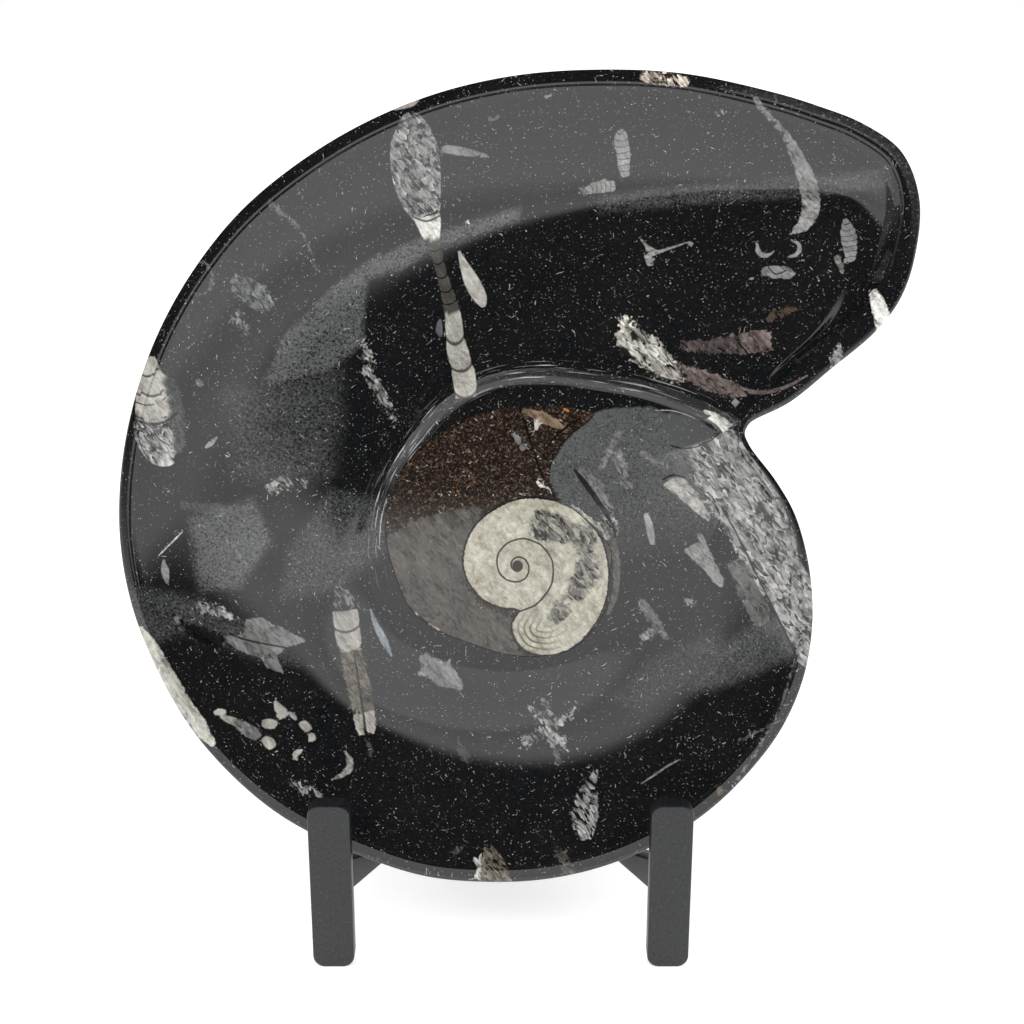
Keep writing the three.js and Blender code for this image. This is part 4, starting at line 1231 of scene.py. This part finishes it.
# Rust, white, tan and grey grains in the brown rock, and dark ones: the cell's sizes in mm, its
# turn in radians, the share of cells that hold one, its size as a share of the cell, and its colour.
STREWN_IN_BROWN = [
    ((0.7, 0.6, 0.6), 0, 0.12, 0.4, "#94683A"),
    ((0.8, 0.7, 0.7), 0.7, 0.14, 0.4, "#B9B5AC"),
    ((2.6, 0.6, 0.6), 0.9, 0.14, 0.38, "#A08C78"),
    ((3.0, 0.6, 0.6), -0.6, 0.14, 0.38, "#9A938C"),
    ((2.2, 1.4, 1.4), 0.3, 0.14, 0.4, "#080606"),
]


def set_tones(ramp, tones):
    """Gives a new colour ramp its tones."""
    for stop, (place, tone) in zip((ramp.elements[0], ramp.elements[1]), (tones[0], tones[-1])):
        stop.position = place
        stop.color = colour(tone)
    for place, tone in tones[1:-1]:
        ramp.elements.new(place).color = colour(tone)


def brown_matrix(tree, place, grown):
    """Brown marly limestone: a speckled dark brown full of grains, and greyer below the shell."""
    solid, ragged, crystals = stored(tree, "fossil_nature")
    grain = node(tree, "TexNoise", {"Vector": grown, "Scale": 1 / 0.8, "Detail": 8, "Roughness": 0.85})
    matrix = node(tree, "ValToRGB", {"Fac": grain})
    set_tones(matrix.color_ramp, MATRIX_TONES)
    patches = node(tree, "TexNoise", {"Vector": place, "Scale": 1 / 6, "Detail": 3})
    for cell, turn, share, size, tone in STREWN_IN_BROWN:
        amount = strewn(tree, grown, patches, cell, turn, share, size)
        matrix = node(tree, "MixRGB", {"Fac": amount, "Color1": matrix, "Color2": colour(tone)})
    inside_by = inside_fossil(tree, place, ragged, 1.1)
    return calcite_over(tree, matrix, place, crystals, solid, inside_by)


def whorl_line(tree, place, across, up):
    """The thin line between the goniatite's whorls, which coils clockwise from the middle, and the
    dark eye that it starts from."""
    dx = node(tree, "Math", {0: across, 1: GONIATITE_CENTRE[0]}, operation="SUBTRACT")
    dy = node(tree, "Math", {0: up, 1: GONIATITE_CENTRE[1]}, operation="SUBTRACT")
    away = node(tree, "CombineXYZ", {"X": dx, "Y": dy})
    wobble = node(tree, "TexNoise", {"Vector": place, "Scale": 1 / 4, "Detail": 3})
    radius = node(tree, "VectorMath", {0: away}, operation="LENGTH").outputs["Value"]
    radius = node(tree, "Math", {0: wobble, 1: 0.9, 2: radius}, operation="MULTIPLY_ADD")
    grown_by = node(tree, "Math", {0: radius, 1: FIRST_WHORL_RADIUS + 0.45}, operation="DIVIDE")
    turns_out = node(tree, "Math", {0: grown_by, 1: WHORL_GROWTH}, operation="LOGARITHM")
    angle = node(tree, "Math", {0: dy, 1: dx}, operation="ARCTAN2")
    turn = node(tree, "Math", {0: angle, 1: 1 / (2 * math.pi), 2: turns_out}, operation="MULTIPLY_ADD")
    to_line = node(tree, "Math", {0: turn, 1: 0.5}, operation="PINGPONG")
    to_line = node(tree, "Math", {0: to_line, 1: radius}, operation="MULTIPLY")
    line = node(tree, "MapRange", {"Value": to_line, "From Min": 0.34, "From Max": 0.14})
    eye = node(tree, "MapRange", {"Value": radius, "From Min": 2.1, "From Max": 1.7})
    return node(tree, "Math", {0: line, 1: eye}, operation="MAXIMUM")


def cream_shell(tree, place, grown, shell_depth, grey, mouth):
    """Cream calcite blotched with tan, coarse and grey where its chambers were hollow, with growth
    lines at its mouth."""
    mottle = node(tree, "TexNoise", {"Vector": grown, "Scale": 1 / 2.2, "Detail": 7, "Roughness": 0.75})
    cream = node(tree, "ValToRGB", {"Fac": mottle})
    set_tones(cream.color_ramp, CREAM_TONES)
    cream = node(tree, "VectorMath", {0: cream, "Scale": crystal_light(tree, place, 0.3)}, operation="SCALE")
    hollow = node(tree, "VectorMath", {0: linear("#605D57"), "Scale": crystal_light(tree, place, 1.0)},
                  operation="SCALE")
    patchy = node(tree, "TexNoise", {"Vector": grown, "Scale": 1 / 2.5, "Detail": 4, "Roughness": 0.7})
    patchy = node(tree, "Math", {0: patchy, 1: grey, 2: -0.25}, operation="MULTIPLY_ADD")
    patchy = node(tree, "MapRange", {"Value": patchy, "From Max": 0.12})
    shell = node(tree, "MixRGB", {"Fac": patchy, "Color1": cream, "Color2": hollow})
    growth = node(tree, "Math", {0: shell_depth, 1: 0.75}, operation="PINGPONG")
    growth = node(tree, "MapRange", {"Value": growth, "From Min": 0.42, "From Max": 0.1, "To Max": 0.95})
    growth = node(tree, "Math", {0: growth, 1: mouth}, operation="MULTIPLY")
    return node(tree, "MixRGB", {"Fac": growth, "Color1": shell, "Color2": colour("#4A4236")})


def goniatite_and_matrix():
    """A goniatite of cream calcite in brown marly limestone, ground flush with the black stone and
    polished with it: thin dark lines part the whorls, and a dark seam runs round the shell."""
    material, tree = new_material("goniatite_in_brown_matrix")
    place = node(tree, "Attribute", attribute_name="stone").outputs["Vector"]
    across, up, _ = stored(tree, "stone")
    shell_depth, grey, mouth = stored(tree, "shell")
    grown = bent(tree, place, 2, 2.5)
    shell = node(tree, "MixRGB", {"Fac": whorl_line(tree, place, across, up),
                                  "Color1": cream_shell(tree, place, grown, shell_depth, grey, mouth),
                                  "Color2": colour("#221A14")})
    crimp = node(tree, "TexNoise", {"Vector": place, "Scale": 1 / 0.9, "Detail": 2})
    shell_edge = node(tree, "Math", {0: crimp, 1: 0.7, 2: shell_depth}, operation="MULTIPLY_ADD")
    inside = node(tree, "MapRange", {"Value": shell_edge, "From Min": 0.27, "From Max": 0.43})
    seam = node(tree, "MapRange", {"Value": shell_edge, "From Min": -0.35, "From Max": -0.05})
    matrix = node(tree, "MixRGB", {"Fac": seam, "Color1": brown_matrix(tree, place, grown),
                                   "Color2": colour("#0E0A09")})
    stone = node(tree, "MixRGB", {"Fac": inside, "Color1": matrix, "Color2": shell})
    finish_material(tree, {"Base Color": stone, "Roughness": 0.12, "IOR": 1.6})
    return material


def charcoal_powder_coat():
    """Charcoal polyester powder coat on the easel: satin, with a fine orange-peel texture and pale
    specks of dust in it."""
    material, tree = new_material("charcoal_powder_coat")
    place = node(tree, "TexCoord").outputs["Object"]
    grain = node(tree, "TexNoise", {"Vector": place, "Scale": 1 / (0.9 * MM), "Detail": 3, "Roughness": 0.7})
    tone = node(tree, "MapRange", {"Value": grain, "From Min": 0.35, "From Max": 0.65})
    tone = node(tree, "MixRGB", {"Fac": tone, "Color1": colour("#0A0B0D"), "Color2": colour("#222326")})
    cells = node(tree, "TexVoronoi", {"Vector": place, "Scale": 1 / (0.6 * MM), "Randomness": 1}).outputs
    pick = node(tree, "SeparateColor", {"Color": cells["Color"]})
    chosen = node(tree, "Math", {0: pick, 1: 0.9}, operation="GREATER_THAN")
    speck = node(tree, "MapRange", {"Value": cells["Distance"], "From Min": 0.24, "From Max": 0.06})
    amount = node(tree, "Math", {0: chosen, 1: speck}, operation="MULTIPLY")
    tone = node(tree, "MixRGB", {"Fac": amount, "Color1": tone, "Color2": colour("#5E5F61")})
    rough = node(tree, "MapRange", {"Value": grain, "To Min": 0.34, "To Max": 0.5})
    bump = node(tree, "Bump", {"Height": grain, "Strength": 0.35, "Distance": 0.12 * MM})
    finish_material(tree, {"Base Color": tone, "Roughness": rough, "IOR": 1.5, "Normal": bump})
    return material


# ---- The dish and its inlay ----


def make_dish(limestone, goniatite):
    points, triangles = ring_mesh(dish_rings())
    whole = mesh_object("whole", points, triangles)
    pocket = inlay_prism("pocket", GLUE_LINE)
    plug = inlay_prism("plug", 0)
    dish = boolean(whole, pocket, "DIFFERENCE", "fossil_dish")
    inlay = boolean(whole, plug, "INTERSECT", "goniatite_stone")
    for scrap in (whole, pocket, plug):
        bpy.data.objects.remove(scrap)
    dress_dish(dish)
    dress_inlay(inlay)
    for piece, material, slot, cad_node in ((dish, limestone, "fossil_limestone", "dish"),
                                            (inlay, goniatite, "goniatite_matrix", "goniatite_inlay")):
        smooth(piece, 40)
        piece.data.materials.clear()
        piece.data.materials.append(material)
        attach(piece, "root")
        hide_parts(cad_node)


# ---- The easel ----

POST_CORNER = 3.2
POST_EDGE = 0.5
BOARD_THICKNESS = 5
BOARD_SPLAY = math.radians(28)
BOARD_INNER_FRONT = 39.4
BOARD_END = 65.7
BOARD_EDGE = 0.6
BOARD_SPARE = 6  # left on a board past each end until it is cut there
ARM_BOTTOM = 20.8
ARM_TOP = 29.95
ARM_NECK = 24.8
ARM_FILLET = 6
LEDGE_SLOPE = math.radians(20.5)
REST_WIDTH = 9.5
REST_TOP = 101
REST_TIP = 3
REST_FILLET = 8
GLUE_GAP = 0.3
FOOT_CORNER = 2.5
FOOT_EDGE = 0.7


def prism(outline, low, high, place):
    """A bmesh prism over an outline (x, y), from low to high along z, with each point passed
    through place."""
    made = bmesh.new()
    bottom = [made.verts.new(place(x, y, low)) for x, y in outline]
    top = [made.verts.new(place(x, y, high)) for x, y in outline]
    made.faces.new(bottom[::-1])
    made.faces.new(top)
    for i in range(len(outline)):
        j = (i + 1) % len(outline)
        made.faces.new((bottom[i], bottom[j], top[j], top[i]))
    return made


def easel_piece(name, made, edge, material, cad_node):
    """Rounds the piece's edges by edge, and puts it in place of its CAD node."""
    bmesh.ops.recalc_face_normals(made, faces=made.faces[:])
    sharp = [e for e in made.edges if e.calc_face_angle(0) > math.radians(35)]
    bmesh.ops.bevel(made, geom=sharp, offset=edge, segments=4, profile=0.5, affect="EDGES",
                    clamp_overlap=True)
    bmesh.ops.transform(made, matrix=Matrix.Scale(MM, 4), verts=made.verts[:])
    mesh = bpy.data.meshes.new(name)
    made.to_mesh(mesh)
    made.free()
    piece = bpy.data.objects.new(name, mesh)
    piece.visible_glossy = False  # the polished face mirrors the bright room alone
    bpy.context.scene.collection.objects.link(piece)
    smooth(piece, 50)
    mesh.materials.append(material)
    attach(piece, "root")
    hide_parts(cad_node)


def rounded_rectangle(x0, x1, y0, y1, corner, steps=8):
    points = []
    for middle_x, middle_y, start in ((x1 - corner, y1 - corner, 0), (x0 + corner, y1 - corner, 90),
                                      (x0 + corner, y0 + corner, 180), (x1 - corner, y0 + corner, 270)):
        for k in range(steps + 1):
            turn = math.radians(start + 90 * k / steps)
            points.append((middle_x + corner * math.cos(turn), middle_y + corner * math.sin(turn)))
    return points


def bend(start, control, end, steps=6):
    """Points of a quadratic curve, without its start."""
    t = np.arange(1, steps + 1)[:, None] / steps
    start, control, end = map(np.array, (start, control, end))
    return ((1 - t) ** 2 * start + 2 * t * (1 - t) * control + t * t * end).tolist()


def board_outline():
    """The side of a board, anticlockwise from its lower front: x along it from the posts, y up."""
    def along(behind):
        return behind / math.cos(BOARD_SPLAY)

    def rest_front(z):
        w = -DISH_THICKNESS - GLUE_GAP
        v = (z - DISH_HEIGHT - w * math.sin(LEAN)) / math.cos(LEAN)
        return along(v * math.sin(LEAN) - w * math.cos(LEAN) - POST_BACK)

    def rest_back(z):
        return rest_front(z) + along(REST_WIDTH / math.cos(LEAN))

    ledge = math.tan(LEDGE_SLOPE)
    far_end = along(BOARD_END + BOARD_SPARE)
    front_end = along(-BOARD_SPARE)
    points = [(front_end, ARM_BOTTOM), (far_end, ARM_BOTTOM), (far_end, ARM_TOP),
              (rest_back(ARM_TOP) + along(ARM_FILLET), ARM_TOP)]
    points += bend(points[-1], (rest_back(ARM_TOP), ARM_TOP),
                   (rest_back(ARM_TOP + REST_FILLET), ARM_TOP + REST_FILLET))
    points.append((rest_back(REST_TOP - REST_TIP), REST_TOP - REST_TIP))
    points += bend(points[-1], (rest_back(REST_TOP), REST_TOP),
                   (rest_back(REST_TOP) - along(REST_TIP), REST_TOP))
    points.append((rest_front(REST_TOP) + along(REST_TIP), REST_TOP))
    points += bend(points[-1], (rest_front(REST_TOP), REST_TOP),
                   (rest_front(REST_TOP - REST_TIP), REST_TOP - REST_TIP))
    points.append((rest_front(ARM_NECK + ARM_FILLET), ARM_NECK + ARM_FILLET))
    points += bend(points[-1], (rest_front(ARM_NECK), ARM_NECK),
                   (rest_front(ARM_NECK) - along(ARM_FILLET), ARM_NECK))
    points.append((along((ARM_TOP - ARM_NECK) / ledge), ARM_NECK))
    points.append((front_end, ARM_TOP + BOARD_SPARE * ledge))
    return points


def side_board(sign):
    """A side board, on the side of sign: its ends are cut to meet the post and the rear foot."""
    turn = math.pi / 2 + sign * BOARD_SPLAY

    def place(x, up, thick):
        return (stand_x + sign * BOARD_INNER_FRONT + x * math.cos(turn) - thick * math.sin(turn),
                stand_y + x * math.sin(turn) + thick * math.cos(turn), up)

    low, high = (-BOARD_THICKNESS, 0) if sign > 0 else (0, BOARD_THICKNESS)
    made = prism(board_outline(), low, high, place)
    bmesh.ops.recalc_face_normals(made, faces=made.faces[:])
    for at, facing in ((stand_y + GLUE_GAP, -1), (stand_y + BOARD_END, 1)):
        cut = bmesh.ops.bisect_plane(made, geom=made.verts[:] + made.edges[:] + made.faces[:],
                                     plane_co=(0, at, 0), plane_no=(0, facing, 0), clear_outer=True)
        edges = [g for g in cut["geom_cut"] if isinstance(g, bmesh.types.BMEdge)]
        bmesh.ops.holes_fill(made, edges=edges)
    return made


def make_easel(coat):
    for side, sign, box in zip(("left", "right"), (-1, 1), post_boxes):
        (x0, y0, z0), (x1, y1, z1) = box
        outline = rounded_rectangle(x0, x1, z0, z1, POST_CORNER)
        post = prism(outline, y0, y1, lambda x, z, y: (x, y, z))
        easel_piece("easel_post_" + side, post, POST_EDGE, coat, "stand_post_" + side)
        easel_piece("easel_board_" + side, side_board(sign), BOARD_EDGE, coat, "stand_side_" + side)
    (x0, y0, z0), (x1, y1, z1) = np.array([list(corner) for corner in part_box("stand_rear_foot")]) / MM
    foot = prism(rounded_rectangle(x0, x1, y0, y1, FOOT_CORNER), z0, z1, lambda x, y, z: (x, y, z))
    easel_piece("easel_rear_foot", foot, FOOT_EDGE, coat, "stand_rear_foot")


# ---- Floor and light ----

FLOOR_SIZE = 60.0  # metres
FLOOR_GLOW = 0.45  # light that comes up through it, as on a light table
BRIGHT_UP_TO = math.radians(12.5)  # elevation at which the bright walls start to fade
DARK_FROM = math.radians(20.5)  # elevation from which the ceiling is dark
WHITE = (1, 1, 1, 1)


def make_stage():
    mesh = bpy.data.meshes.new("floor")
    half = FLOOR_SIZE / 2
    corners = [(-half, -half, 0), (half, -half, 0), (half, half, 0), (-half, half, 0)]
    mesh.from_pydata(corners, [], [(0, 1, 2, 3)])
    floor = bpy.data.objects.new("floor", mesh)
    bpy.context.scene.collection.objects.link(floor)
    material, tree = new_material("white_floor")
    finish_material(tree, {"Base Color": colour("#F4F5F4"), "Roughness": 0.9, "Specular IOR Level": 0.2,
                           "Emission Color": colour("#FFFFFF"), "Emission Strength": FLOOR_GLOW})
    mesh.materials.append(material)


def soft_light(name, place, aim, size, power):
    """A square lamp, in metres and watts, that shows in no reflection."""
    data = bpy.data.lights.new(name, "AREA")
    data.shape = "SQUARE"
    data.size = size
    data.energy = power
    light = bpy.data.objects.new(name, data)
    light.location = place
    light.rotation_euler = (Vector(aim) - Vector(place)).to_track_quat("-Z", "Y").to_euler()
    light.visible_glossy = False
    light.visible_camera = False
    bpy.context.scene.collection.objects.link(light)


def make_world():
    """White to the eye; in reflections bright low down and dark overhead, as in a light tent with
    an open top."""
    world = bpy.data.worlds.new("light_tent")
    bpy.context.scene.world = world
    world.use_nodes = True
    tree = world.node_tree
    tree.nodes.clear()
    direction = node(tree, "TexCoord").outputs["Generated"]
    height = node(tree, "SeparateXYZ", {"Vector": direction}).outputs["Z"]
    elevation = node(tree, "Math", {0: height}, operation="ARCSINE")
    wall = node(tree, "MapRange", {"Value": elevation, "From Max": BRIGHT_UP_TO, "To Min": 1.15,
                                   "To Max": 1.4})
    ceiling = node(tree, "MapRange", {"Value": elevation, "From Min": BRIGHT_UP_TO, "From Max": DARK_FROM,
                                      "To Min": 1, "To Max": 0.015}, interpolation_type="SMOOTHSTEP")
    room = node(tree, "Math", {0: wall, 1: ceiling}, operation="MULTIPLY")
    path = node(tree, "LightPath").outputs
    plain = node(tree, "Background", {"Color": WHITE, "Strength": 1})
    mirrored = node(tree, "Background", {"Color": WHITE, "Strength": room})
    unseen = node(tree, "MixShader", {"Fac": path["Is Glossy Ray"], 1: plain, 2: mirrored})
    whole = node(tree, "MixShader", {"Fac": path["Is Camera Ray"], 1: unseen, 2: plain})
    node(tree, "OutputWorld", {"Surface": whole})


set_camera()
make_stage()
soft_light("key", (-0.5, -1.1, 1.6), (0, 0, 0.1), 1.2, 10)
soft_light("fill", (0.8, -0.9, 1.1), (0, 0, 0.1), 1.0, 4)
make_world()
bpy.context.scene.view_settings.view_transform = "Standard"
make_dish(black_fossil_limestone(), goniatite_and_matrix())
make_easel(charcoal_powder_coat())
